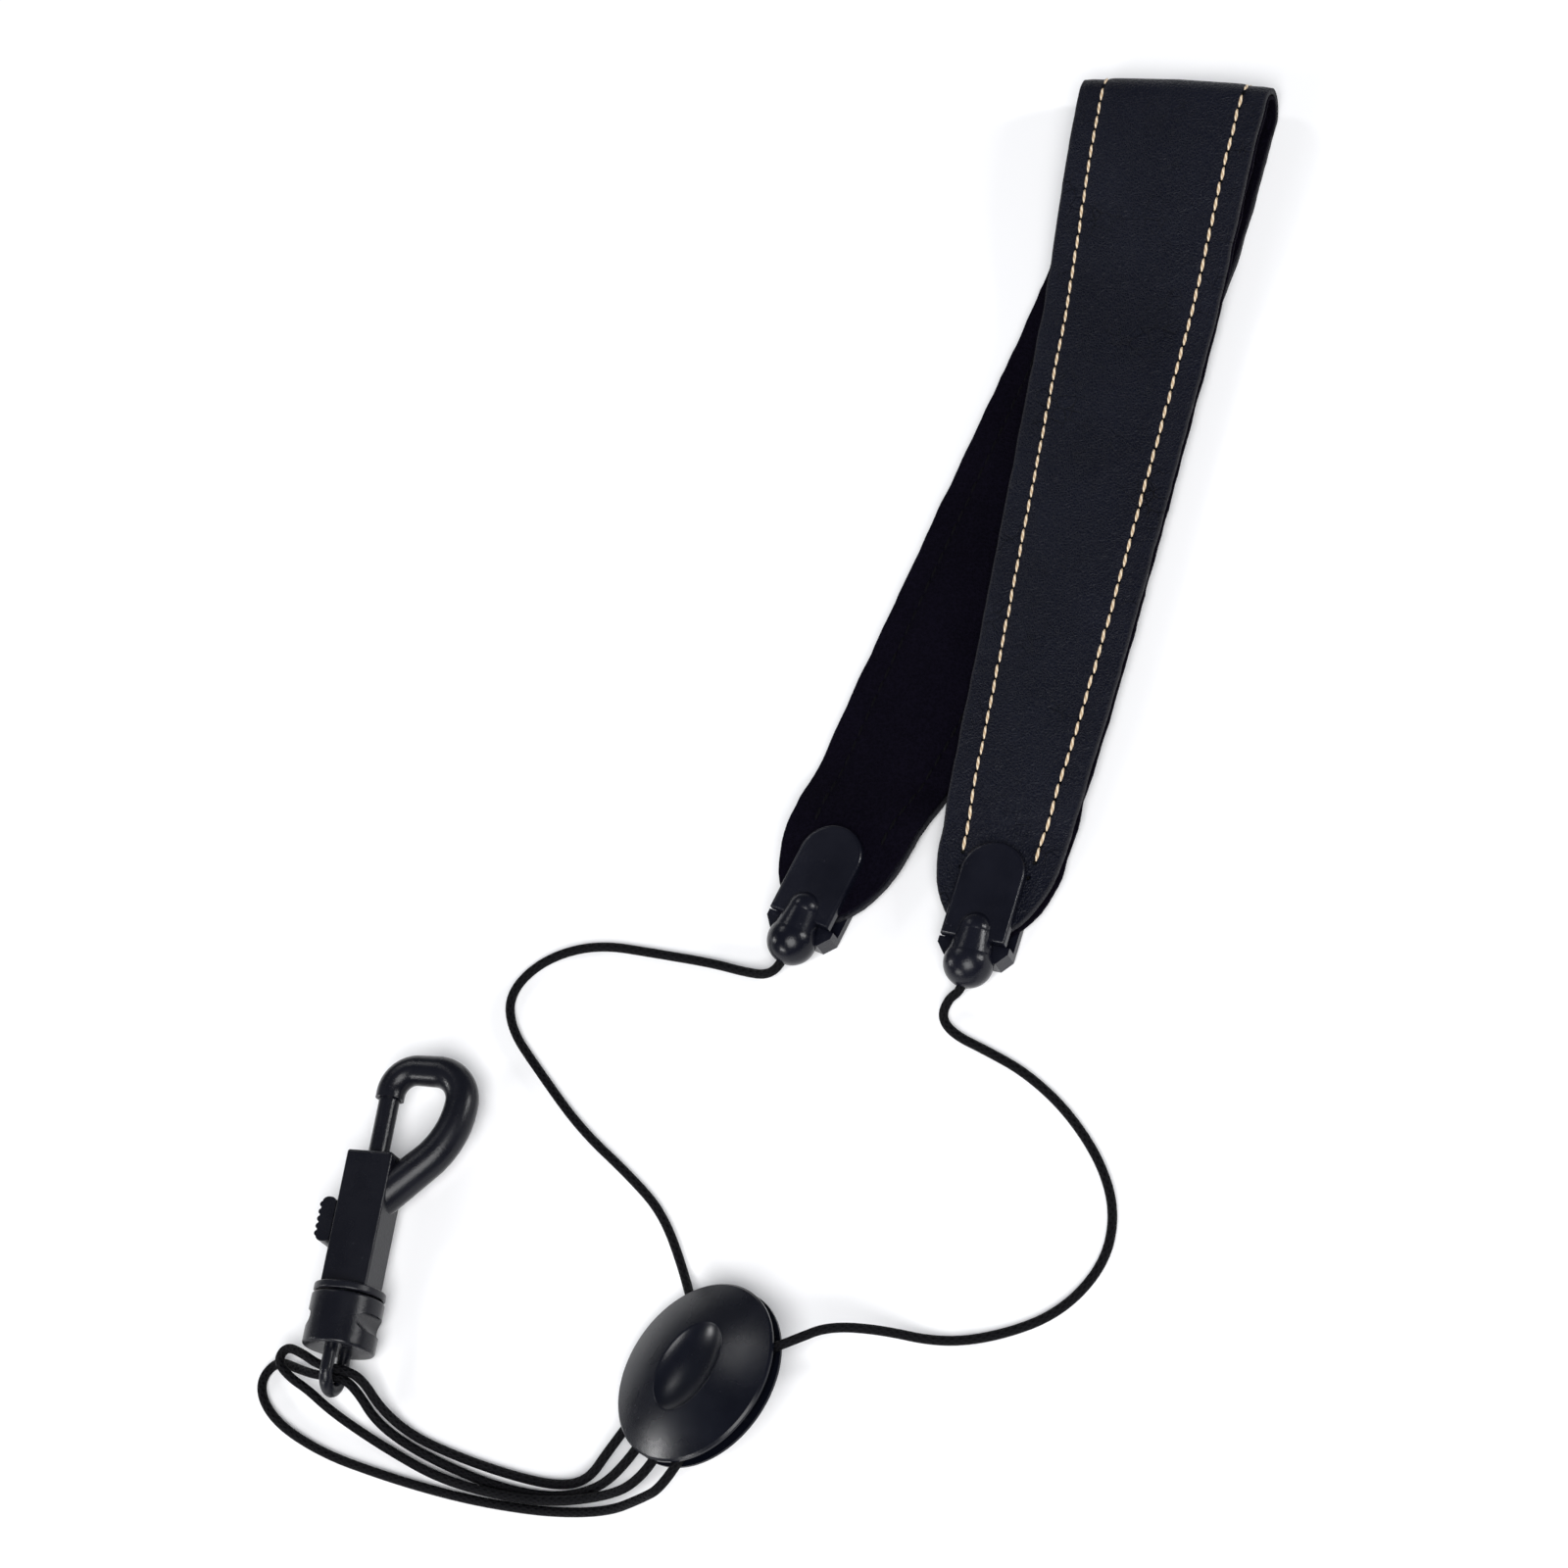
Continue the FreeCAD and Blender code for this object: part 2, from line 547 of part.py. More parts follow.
def gate_bolt(slider):
    bolt = on_axis(BOLT_RADIUS, BOLT_BOTTOM, NOSE_H + SOCKET_DEPTH - 0.3)
    bolt = bolt.makeFillet(0.6, [e for e in bolt.Edges if e.Closed and e.BoundBox.YMin > NOSE_H])
    return bolt.cut(slider)


# ---- assembly ----

tilt = math.radians(DISC_TILT)
along_cords = Vector(0.33, 0.944, 0).normalize()
down_slope = Vector(-along_cords.y * math.cos(tilt), along_cords.x * math.cos(tilt), -math.sin(tilt))
disc_frame = frame(DISC_CENTRE, along_cords, down_slope)

# Where each cord crosses the adjuster's rim, in the adjuster's own X and Y.
LOCAL_EXITS = {
    "left": (13.0, 14.4),
    "right": (12.2, -15.2),
    "inner_start": (-16.2, 10.6),
    "outer_start": (-18.9, 4.6),
    "inner_end": (-19.4, -1.5),
    "outer_end": (-17.7, -8.1),
}


def rim_point(name):
    return disc_frame.multVec(Vector(*LOCAL_EXITS[name], 0))


for node, layer in band_layers().items():
    save(node, layer)

clips = {
    "left": (12.1, 14.0, CORD_LEFT),
    "right": (50.9, 4.0, CORD_RIGHT),
}
for side, (end_x, turn, route) in clips.items():
    place = clip_frame(end_x, turn)
    bulb_centre = place.multVec(Vector(0, -BULB_OFFSET, BULB_Z))
    exit_way = place.Rotation.inverted().multVec(Vector(*route[1]) - bulb_centre)
    for piece, shape in clip_pieces(exit_way.normalize()).items():
        save(side + "_clip_" + piece, placed(shape, place))

for node, piece in adjuster_pieces().items():
    save(node, placed(piece, disc_frame))

turn = math.radians(HOOK_TURN)
hook_frame = frame(PIVOT, Vector(math.cos(turn), math.sin(turn), 0), Vector(-math.sin(turn), math.cos(turn), 0))
loop = eye_loop()
slider = thumb_slider()
hook_pieces = {
    "eye_loop": loop,
    "swivel_cap": swivel_cap(loop),
    "swivel_stud": swivel_stud(),
    "hook_body": hook_body(),
    "gate_bolt": gate_bolt(slider),
    "thumb_slider": slider,
    "gate_spring": gate_spring(),
}
for node, piece in hook_pieces.items():
    save(node, placed(piece, hook_frame))

cords = {
    "cord_left": [Vector(*p) for p in CORD_LEFT] + [rim_point("left")],
    "cord_right": [Vector(*p) for p in CORD_RIGHT] + [rim_point("right")],
    "cord_hook_inner": [rim_point("inner_start")] + [Vector(*p) for p in CORD_HOOK_INNER],
    "cord_hook_outer": [rim_point("outer_start")] + [Vector(*p) for p in CORD_HOOK_OUTER],
}
cords["cord_hook_inner"].append(rim_point("inner_end"))
cords["cord_hook_outer"].append(rim_point("outer_end"))
for node, points in cords.items():
    save(node, tube(points, node))
for name in LOCAL_EXITS:
    print(name, [round(c, 2) for c in rim_point(name)])
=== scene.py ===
# %% [markdown]
# # A saxophone neck strap
# A padded leather band goes round the neck. A clip bites each of its two ends and holds a knot of thin
# braided cord. The cord runs down to a round adjuster, through the eye of a snap hook, and back again.
# The strap lies on a table, folded in half. The moving frame is loaded first; its bodies are strap,
# adjuster, hook_eye, hook and gate. The band and its seams ride on strap, the spring on hook, the cords on
# none.

# %% Load the frame
import json
import math
import random

import bpy
from mathutils import Matrix, Vector, noise


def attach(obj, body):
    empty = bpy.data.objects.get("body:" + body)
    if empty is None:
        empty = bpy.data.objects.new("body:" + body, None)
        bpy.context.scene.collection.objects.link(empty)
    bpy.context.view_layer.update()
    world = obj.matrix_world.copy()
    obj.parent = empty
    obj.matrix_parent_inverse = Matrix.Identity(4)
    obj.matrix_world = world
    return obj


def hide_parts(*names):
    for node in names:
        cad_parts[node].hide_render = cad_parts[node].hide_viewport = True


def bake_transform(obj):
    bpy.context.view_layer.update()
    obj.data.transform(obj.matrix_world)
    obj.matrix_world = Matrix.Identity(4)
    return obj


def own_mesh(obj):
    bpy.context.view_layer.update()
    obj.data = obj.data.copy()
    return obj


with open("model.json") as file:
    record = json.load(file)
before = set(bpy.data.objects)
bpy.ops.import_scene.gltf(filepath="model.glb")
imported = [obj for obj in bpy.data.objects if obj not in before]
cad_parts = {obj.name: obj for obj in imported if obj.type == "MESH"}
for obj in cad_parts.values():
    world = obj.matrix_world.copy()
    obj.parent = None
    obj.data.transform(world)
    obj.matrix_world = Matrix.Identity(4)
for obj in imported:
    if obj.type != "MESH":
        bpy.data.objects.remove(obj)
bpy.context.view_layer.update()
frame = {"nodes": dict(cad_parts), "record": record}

MM = 0.001

# %% [markdown]
# ## Where we look from
# The camera looks down on the table at about sixty degrees, with a long lens, so that far and near ends
# keep almost the same scale. It is also rolled about its own axis, which lays the band diagonally.
# A camera can be turned by angles, but here its three axes are worked out as vectors, because that keeps
# the direction it looks in apart from its roll. Distances here are in metres, as everywhere in Blender.

# %% Camera
AIM = Vector((-0.0016, -0.0115, 0.0))
TOWARDS_EYE = Vector((0.35456, -0.33064, 0.87462)).normalized()
EYE_DISTANCE = 0.9
LENS, SENSOR_WIDTH, NEAREST = 95.2, 36.0, 0.05
ROLL = math.radians(36.87)
level_right = Vector((-TOWARDS_EYE.y, TOWARDS_EYE.x, 0)).normalized()
level_up = TOWARDS_EYE.cross(level_right)
VIEW_RIGHT = level_right * math.cos(ROLL) - level_up * math.sin(ROLL)
VIEW_UP = level_right * math.sin(ROLL) + level_up * math.cos(ROLL)
turn = Matrix((VIEW_RIGHT, VIEW_UP, TOWARDS_EYE)).transposed()
bpy.ops.object.camera_add(location=AIM + TOWARDS_EYE * EYE_DISTANCE, rotation=turn.to_euler())
camera = bpy.context.object
camera.name = "camera"
camera.data.lens = LENS
camera.data.sensor_width = SENSOR_WIDTH
camera.data.clip_start = NEAREST
bpy.context.scene.camera = camera
print("camera at", [round(c, 3) for c in camera.location])


# %% [markdown]
# ## A few habits of the bench
# An operator works on whatever is selected, so each step starts from a clean selection. A finished piece
# is named, given its finish, and handed to the body that carries it.

# %% Helpers for every piece
def select_only(*pieces):
    if bpy.context.mode != "OBJECT":
        bpy.ops.object.mode_set(mode="OBJECT")
    bpy.ops.object.select_all(action="DESELECT")
    for piece in pieces:
        piece.select_set(True)
    bpy.context.view_layer.objects.active = pieces[0] if pieces else None


def apply_modifiers(piece):
    select_only(piece)
    for modifier in list(piece.modifiers):
        bpy.ops.object.modifier_apply(modifier=modifier.name)


def hand_over(piece, name, body, finish, nodes=()):
    """Name a finished piece, dress it, stand it in for its plain solids and let it ride on its body."""
    piece.name = name
    piece.data.name = name
    piece.data.materials.clear()
    piece.data.materials.append(finish)
    if nodes:
        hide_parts(*nodes)
    if body:
        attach(piece, body)
    print(name, "faces", len(piece.data.polygons))

# %% [markdown]
# ## The cord
# One braided nylon cord, two millimetres thick, ties the strap together. It is limp, so it lies on the
# table in loose curves and only climbs where it meets the tilted adjuster or the hook's eye. It could be
# simulated as a rope, but its lie is fixed by what it threads through, so each stretch is a smooth NURBS
# line through listed points in the air, and then swept with a round section. The line's own points are read
# back first, because they tell how far along the cord each ring of the sweep is.

# %% The four free stretches, as points in metres
CORD_THICKNESS = 0.002
LEFT_ROUTE = [
    (0.01007, -0.05124, 0.0049), (0.0092, -0.0542, 0.0043), (0.0064, -0.0562, 0.0032),
    (0.0012, -0.0557, 0.0016), (-0.0075, -0.0544, 0.001), (-0.02, -0.0539, 0.001),
    (-0.0345, -0.0534, 0.001), (-0.0458, -0.0583, 0.001), (-0.0518, -0.0668, 0.001),
    (-0.0492, -0.075, 0.001), (-0.0405, -0.0832, 0.001), (-0.0275, -0.0948, 0.001),
    (-0.014, -0.1032, 0.001), (-0.0045, -0.1102, 0.001), (0.00322, -0.12143, 0.0013),
    (0.00749, -0.12809, 0.0041),
]
RIGHT_ROUTE = [
    (0.05031, -0.05123, 0.00487), (0.04994, -0.05443, 0.00419), (0.047, -0.056, 0.0024),
    (0.0459, -0.0599, 0.0011), (0.0494, -0.0632, 0.001), (0.057, -0.0657, 0.001),
    (0.0665, -0.0693, 0.001), (0.077, -0.0762, 0.001), (0.0865, -0.0862, 0.001),
    (0.0916, -0.0965, 0.001), (0.0914, -0.1075, 0.001), (0.0845, -0.1184, 0.001),
    (0.073, -0.125, 0.001), (0.0615, -0.1284, 0.0016), (0.05, -0.129, 0.0076),
    (0.0415, -0.1314, 0.0136), (0.03691, -0.13599, 0.01775), (0.03271, -0.13776, 0.01623),
]
INNER_LOOP_ROUTE = [
    (0.00113, -0.1568, 0.00565), (-0.00169, -0.16231, 0.00528), (-0.0056, -0.1684, 0.0024),
    (-0.0125, -0.1704, 0.001), (-0.024, -0.1698, 0.001), (-0.037, -0.1678, 0.001),
    (-0.0475, -0.1652, 0.001), (-0.0545, -0.1614, 0.0032), (-0.0586, -0.1566, 0.0076),
    (-0.0626, -0.1556, 0.00865), (-0.0684, -0.1556, 0.0086), (-0.0736, -0.1534, 0.0074),
    (-0.0784, -0.1522, 0.006), (-0.0798, -0.1556, 0.0054), (-0.0762, -0.1584, 0.0049),
    (-0.0716, -0.1602, 0.0044), (-0.0664, -0.1632, 0.0032), (-0.0594, -0.1662, 0.0014),
    (-0.05, -0.1696, 0.001), (-0.0395, -0.1729, 0.0018), (-0.028, -0.1745, 0.0029),
    (-0.014, -0.1745, 0.0029), (-0.001, -0.172, 0.0054), (0.0082, -0.16879, 0.01043),
    (0.01049, -0.16346, 0.01061),
]
OUTER_LOOP_ROUTE = [
    (0.0054, -0.16116, 0.00811), (0.00299, -0.1662, 0.00784), (-0.0036, -0.1704, 0.0032),
    (-0.013, -0.173, 0.001), (-0.025, -0.1728, 0.001), (-0.0375, -0.1704, 0.001),
    (-0.048, -0.1674, 0.001), (-0.0556, -0.1638, 0.0022), (-0.0596, -0.1592, 0.0054),
    (-0.063, -0.157, 0.00705), (-0.069, -0.1574, 0.00705), (-0.0756, -0.156, 0.0032),
    (-0.0822, -0.1544, 0.001), (-0.085, -0.1604, 0.001), (-0.0794, -0.1672, 0.001),
    (-0.0665, -0.1722, 0.001), (-0.051, -0.1746, 0.001), (-0.037, -0.176, 0.001),
    (-0.025, -0.1764, 0.001), (-0.012, -0.1759, 0.001), (0.0005, -0.174, 0.0028),
    (0.009, -0.1712, 0.0084), (0.0146, -0.16924, 0.01321), (0.01673, -0.16385, 0.01332),
]

# %% A smooth line through a route, and a round cord along it
def smooth_line(name, route):
    curve = bpy.data.curves.new(name, "CURVE")
    curve.dimensions = "3D"
    curve.resolution_u = 10
    spline = curve.splines.new("NURBS")
    spline.points.add(len(route) - 1)
    for point, place in zip(spline.points, route):
        point.co = (*place, 1.0)
    spline.order_u = 3
    spline.use_endpoint_u = True
    line = bpy.data.objects.new(name, curve)
    bpy.context.collection.objects.link(line)
    return line


def points_along(line):
    bpy.context.view_layer.update()
    mesh = bpy.data.meshes.new_from_object(line)
    points = [vertex.co.copy() for vertex in mesh.vertices]
    bpy.data.meshes.remove(mesh)
    return points


def swept_cord(name, route):
    """A round cord along a route, its UV map in metres along and turns around, and the line it follows."""
    line = smooth_line(name, route)
    path = points_along(line)
    line.data.bevel_depth = CORD_THICKNESS / 2
    line.data.bevel_resolution = 4
    line.data.use_fill_caps = True
    select_only(line)
    bpy.ops.object.convert(target="MESH")
    cord = bpy.context.object
    bpy.ops.object.shade_smooth()
    lengths = [0.0]
    for here, there in zip(path, path[1:]):
        lengths.append(lengths[-1] + (there - here).length)
    steps = len(path) - 1
    if not cord.data.uv_layers:
        raise RuntimeError("the swept cord has no UV map")
    for item in cord.data.uv_layers[0].data:
        share = min(max(item.uv.x, 0.0), 1.0) * steps
        whole = min(int(share), steps - 1)
        item.uv.x = lengths[whole] + (lengths[whole + 1] - lengths[whole]) * (share - whole)
    return cord, path, lengths[-1]


# %% [markdown]
# ## Surfaces, shared effects first
# Nearly everything on a neck strap is black, so what tells its parts apart is how each surface breaks the
# light: grained leather, brushed lining, braided nylon, moulded plastic. An effect that several finishes
# share is a node group with named sockets, built once. A group only gives patterns; each finish then has
# its own shader. Nodes could be placed one by one in an editor; here a small helper adds them by name.

# %% Small tools for building node trees
def add_group(name, inputs, outputs):
    """An empty node group with its own input and output nodes."""
    tree = bpy.data.node_groups.new(name, "ShaderNodeTree")
    for label, kind, value in inputs:
        socket = tree.interface.new_socket(label, in_out="INPUT", socket_type=kind)
        if value is not None:
            socket.default_value = value
    for label, kind in outputs:
        tree.interface.new_socket(label, in_out="OUTPUT", socket_type=kind)
    return tree, tree.nodes.new("NodeGroupInput"), tree.nodes.new("NodeGroupOutput")


def node(tree, kind, links=None, **settings):
    """Add a node. Settings are its properties; links give each input a value or another node's output."""
    made = tree.nodes.new(kind)
    for key, value in settings.items():
        setattr(made, key, value)
    for key, source in (links or {}).items():
        if isinstance(source, bpy.types.NodeSocket):
            tree.links.new(source, made.inputs[key])
        else:
            made.inputs[key].default_value = source
    return made


def maths(tree, operation, first, second=0.0, third=0.0, clamp=False):
    links = {0: first, 1: second, 2: third}
    return node(tree, "ShaderNodeMath", links, operation=operation, use_clamp=clamp).outputs[0]


def noise_of(tree, vector, scale, detail=2.0, rough=0.5):
    links = {"Vector": vector, "Scale": scale, "Detail": detail, "Roughness": rough}
    return node(tree, "ShaderNodeTexNoise", links).outputs["Fac"]


def spread(tree, value, low, high, to_low=0.0, to_high=1.0):
    """Map the range low to high of a value onto another, without going past its ends."""
    links = {"Value": value, "From Min": low, "From Max": high, "To Min": to_low, "To Max": to_high}
    return node(tree, "ShaderNodeMapRange", links, clamp=True).outputs[0]


def between(tree, factor, first, second):
    """A colour that goes from the first to the second as the factor goes from 0 to 1."""
    made = node(tree, "ShaderNodeMix", {"Factor": factor}, data_type="RGBA")
    for key, colour in ((6, first), (7, second)):
        if isinstance(colour, bpy.types.NodeSocket):
            tree.links.new(colour, made.inputs[key])
        else:
            made.inputs[key].default_value = (*colour, 1.0)
    return made.outputs[2]


# %% Shared group: moulded plastic
# A spark-eroded mould leaves a fine, even texture. Hands leave soft smudges, and dust settles in specks.
moulding, given, given_out = add_group(
    "moulded surface",
    [("Vector", "NodeSocketVector", None), ("Texture Scale", "NodeSocketFloat", 2600.0)],
    [("Height", "NodeSocketFloat"), ("Smudge", "NodeSocketFloat"), ("Dust", "NodeSocketFloat")],
)
place = given.outputs["Vector"]
fine = noise_of(moulding, place, given.outputs["Texture Scale"], 2.0, 0.6)
slow = noise_of(moulding, place, 90.0, 3.0, 0.55)
specks = node(moulding, "ShaderNodeTexVoronoi", {"Vector": place, "Scale": 420.0, "Randomness": 1.0})
near = spread(moulding, specks.outputs["Distance"], 0.05, 0.11, 1.0, 0.0)
patchy = spread(moulding, noise_of(moulding, place, 70.0, 4.0, 0.6), 0.5, 0.66)
moulding.links.new(fine, given_out.inputs["Height"])
moulding.links.new(spread(moulding, slow, 0.3, 0.7), given_out.inputs["Smudge"])
moulding.links.new(maths(moulding, "MULTIPLY", near, patchy), given_out.inputs["Dust"])
print("group", moulding.name, "nodes", len(moulding.nodes))

# %% Shared group: hide grain
# Leather grain is made of small cells of uneven size, with pores and hairline creases between them.
grain, given, given_out = add_group(
    "hide grain",
    [("Vector", "NodeSocketVector", None), ("Cells per Metre", "NodeSocketFloat", 1500.0)],
    [("Height", "NodeSocketFloat"), ("Creases", "NodeSocketFloat"), ("Tone", "NodeSocketFloat")],
)
place = given.outputs["Vector"]
drift = node(grain, "ShaderNodeTexNoise", {"Vector": place, "Scale": 240.0, "Detail": 3.0})
LARGEST_DRIFT = (0.0009, 0.0009, 0.0)
bent = node(
    grain, "ShaderNodeVectorMath", {0: drift.outputs["Color"], 1: LARGEST_DRIFT}, operation="MULTIPLY",
)
moved = node(grain, "ShaderNodeVectorMath", {0: place, 1: bent.outputs[0]}, operation="ADD").outputs[0]
cells = node(
    grain, "ShaderNodeTexVoronoi", {"Vector": moved, "Scale": given.outputs["Cells per Metre"]},
    feature="DISTANCE_TO_EDGE",
)
pebble = spread(grain, cells.outputs["Distance"], 0.0, 0.22)
fine = noise_of(grain, place, 5200.0, 2.0, 0.6)
wide_cells = node(
    grain, "ShaderNodeTexVoronoi", {"Vector": moved, "Scale": 330.0}, feature="DISTANCE_TO_EDGE",
)
crease = spread(grain, wide_cells.outputs["Distance"], 0.0, 0.05, 1.0, 0.0)
where = spread(grain, noise_of(grain, place, 55.0, 3.0, 0.6), 0.5, 0.7)
height = maths(grain, "MULTIPLY_ADD", fine, 0.35, pebble)
grain.links.new(height, given_out.inputs["Height"])
grain.links.new(maths(grain, "MULTIPLY", crease, where), given_out.inputs["Creases"])
grain.links.new(noise_of(grain, place, 38.0, 5.0, 0.6), given_out.inputs["Tone"])
print("group", grain.name, "nodes", len(grain.nodes))

# %% Shared group: twisted or braided yarn
# Two families of slanting ridges, one each way round, give a braid; one family alone gives a twist.
# The vector runs along in X, in metres, and once round in Y.
yarn, given, given_out = add_group(
    "slanting yarns",
    [("Vector", "NodeSocketVector", None), ("Turns per Metre", "NodeSocketFloat", 150.0),
     ("Yarns Around", "NodeSocketFloat", 8.0), ("Other Way", "NodeSocketFloat", 1.0)],
    [("Height", "NodeSocketFloat"), ("Tone", "NodeSocketFloat")],
)
along, around, _ = node(yarn, "ShaderNodeSeparateXYZ", {0: given.outputs["Vector"]}).outputs
run = maths(yarn, "MULTIPLY", along, given.outputs["Turns per Metre"])
side = maths(yarn, "MULTIPLY", around, given.outputs["Yarns Around"])
waves = []
for operation in ("ADD", "SUBTRACT"):
    phase = maths(yarn, "MULTIPLY", maths(yarn, operation, run, side), 2 * math.pi)
    waves.append(maths(yarn, "MULTIPLY_ADD", maths(yarn, "SINE", phase), 0.5, 0.5))
crossed = maths(yarn, "MULTIPLY", waves[1], given.outputs["Other Way"])
ridge = maths(yarn, "MAXIMUM", waves[0], crossed)
hair = noise_of(yarn, given.outputs["Vector"], 900.0, 3.0, 0.7)
yarn.links.new(maths(yarn, "MULTIPLY_ADD", hair, 0.25, ridge), given_out.inputs["Height"])
yarn.links.new(hair, given_out.inputs["Tone"])
print("group", yarn.name, "nodes", len(yarn.nodes))

# %% [markdown]
# ## The finishes
# Each finish is a Principled shader fed by the shared patterns. Blacks differ: the leather is a cool black
# with a broad soft sheen, the plastic is as cool and glossier, the lining swallows light, and only the
# thread is pale. A height never changes the shape by much, so it goes through a Bump node.

# %% A helper for one finish
def add_finish(name, **constants):
    """A material whose Principled shader has the given constants on its own sockets."""
    material = bpy.data.materials.new(name)
    material.use_nodes = True
    tree = material.node_tree
    shader = tree.nodes["Principled BSDF"]
    for key, value in constants.items():
        shader.inputs[key.replace("_", " ")].default_value = value
    return material, tree, shader


def use_group(tree, group, vector, **values):
    made = tree.nodes.new("ShaderNodeGroup")
    made.node_tree = group
    tree.links.new(vector, made.inputs["Vector"])
    for key, value in values.items():
        made.inputs[key.replace("_", " ")].default_value = value
    return made.outputs


def bump(tree, shader, height, distance, strength=1.0):
    links = {"Height": height, "Distance": distance, "Strength": strength}
    tree.links.new(node(tree, "ShaderNodeBump", links).outputs[0], shader.inputs["Normal"])


# %% Moulded plastics
DUST_GREY = (0.020, 0.021, 0.028)


def moulded_plastic(name, black, lighter, smooth, rough, texture, depth):
    material, tree, shader = add_finish(name, Specular_IOR_Level=0.24)
    place = node(tree, "ShaderNodeTexCoord").outputs["Object"]
    patterns = use_group(tree, moulding, place, Texture_Scale=texture)
    plain = between(tree, patterns["Smudge"], black, lighter)
    tree.links.new(between(tree, patterns["Dust"], plain, DUST_GREY), shader.inputs["Base Color"])
    clean = spread(tree, patterns["Smudge"], 0.0, 1.0, smooth, rough)
    dusty = maths(tree, "MULTIPLY_ADD", patterns["Dust"], 0.3, clean, True)
    tree.links.new(dusty, shader.inputs["Roughness"])
    bump(tree, shader, patterns["Height"], depth)
    return material


clip_black = moulded_plastic(
    "clip plastic", black=(0.0030, 0.0033, 0.0066), lighter=(0.0052, 0.0056, 0.0105),
    smooth=0.20, rough=0.28, texture=2400.0, depth=0.00004,
)
disc_black = moulded_plastic(
    "disc plastic", black=(0.0026, 0.0031, 0.0062), lighter=(0.0046, 0.0054, 0.0098),
    smooth=0.24, rough=0.31, texture=3200.0, depth=0.00002,
)
hook_black = moulded_plastic(
    "hook plastic", black=(0.0034, 0.0037, 0.0064), lighter=(0.0058, 0.0062, 0.0098),
    smooth=0.24, rough=0.32, texture=2600.0, depth=0.00004,
)

# %% Plain and blackened steel
def steel(name, colour, rough):
    material, tree, shader = add_finish(name, Metallic=1.0)
    place = node(tree, "ShaderNodeTexCoord").outputs["Object"]
    patterns = use_group(tree, moulding, place, Texture_Scale=1800.0)
    lighter = tuple(min(1.0, channel * 1.3) for channel in colour)
    tree.links.new(between(tree, patterns["Smudge"], colour, lighter), shader.inputs["Base Color"])
    uneven = spread(tree, patterns["Height"], 0.3, 0.7, rough, rough + 0.15)
    tree.links.new(uneven, shader.inputs["Roughness"])
    bump(tree, shader, patterns["Height"], 0.00002)
    return material


plain_steel = steel("plain steel", (0.50, 0.50, 0.52), 0.28)
black_steel = steel("blackened steel", (0.05, 0.05, 0.055), 0.4)

# %% Braided cord and sewing thread
def yarn_finish(name, low, high, rough, turns, count, other_way, depth, shine):
    material, tree, shader = add_finish(name, Specular_IOR_Level=shine)
    place = node(tree, "ShaderNodeUVMap").outputs[0]
    patterns = use_group(tree, yarn, place, Turns_per_Metre=turns, Yarns_Around=count, Other_Way=other_way)
    # The colour follows the yarn's height times its fibre tone, so the grooves between the yarns are
    # painted darker: painted shade in the grooves, over random fibre tone.
    tone = maths(tree, "MULTIPLY", patterns["Height"], patterns["Tone"])
    tree.links.new(between(tree, spread(tree, tone, 0.1, 0.8), low, high), shader.inputs["Base Color"])
    uneven = spread(tree, patterns["Tone"], 0.3, 0.7, rough, rough + 0.15)
    tree.links.new(uneven, shader.inputs["Roughness"])
    bump(tree, shader, patterns["Height"], depth)
    return material


cord_black = yarn_finish(
    "braided nylon", low=(0.0008, 0.0008, 0.0012), high=(0.0050, 0.0050, 0.0068), rough=0.5,
    turns=520.0, count=6.0, other_way=1.0, depth=0.00022, shine=0.08,
)
# The brown low end of the cream thread is painted shade in the grooves between its plies.
thread_cream = yarn_finish(
    "waxed thread", low=(0.46, 0.32, 0.19), high=(1.0, 0.88, 0.68), rough=0.45,
    turns=900.0, count=2.0, other_way=0.0, depth=0.00010, shine=0.4,
)
thread_black = yarn_finish(
    "black thread", low=(0.0006, 0.0005, 0.0012), high=(0.0024, 0.0020, 0.0040), rough=0.7,
    turns=900.0, count=2.0, other_way=0.0, depth=0.00010, shine=0.08,
)

# %% Leather, with its cut edge and the needle holes of the seams
SEAM_INSET = 0.0055
STITCH_PITCH = 0.0036
SEAM_START = 0.0180
HOLE_RADIUS = 0.0003
leather_black, tree, shader = add_finish("grained leather", Specular_IOR_Level=0.13)
flat = node(tree, "ShaderNodeUVMap", uv_map="UVMap").outputs[0]
edge_map = node(tree, "ShaderNodeUVMap", uv_map="EdgeMap").outputs[0]
patterns = use_group(tree, grain, flat, Cells_per_Metre=1350.0)
from_edge, along, _ = node(tree, "ShaderNodeSeparateXYZ", {0: edge_map}).outputs
margin = spread(tree, from_edge, 0.004, 0.0062, 1.0, 0.0)
cut = spread(tree, from_edge, 0.00015, 0.0006, 1.0, 0.0)
pitch_share = maths(tree, "DIVIDE", maths(tree, "SUBTRACT", along, SEAM_START), STITCH_PITCH)
from_gap = maths(tree, "PINGPONG", pitch_share, 0.5)
hole_along = maths(tree, "MULTIPLY", from_gap, STITCH_PITCH)
hole_across = maths(tree, "SUBTRACT", from_edge, SEAM_INSET)
across_squared = maths(tree, "MULTIPLY", hole_across, hole_across)
squares = maths(tree, "MULTIPLY_ADD", hole_along, hole_along, across_squared)
hole = spread(tree, maths(tree, "SQRT", squares), HOLE_RADIUS, 2 * HOLE_RADIUS, 1.0, 0.0)
tone = spread(tree, patterns["Tone"], 0.3, 0.7)
hide = between(tree, tone, (0.0026, 0.0032, 0.0078), (0.0052, 0.0062, 0.0130))
# The creases are painted darker: painted shade in the hairline creases.
hide = between(tree, patterns["Creases"], hide, (0.0018, 0.0022, 0.0045))
# The cut edge is painted lighter: partly the raw edge's own colour, partly a painted highlight along its
# rounded edge.
hide = between(tree, cut, hide, (0.018, 0.018, 0.022))
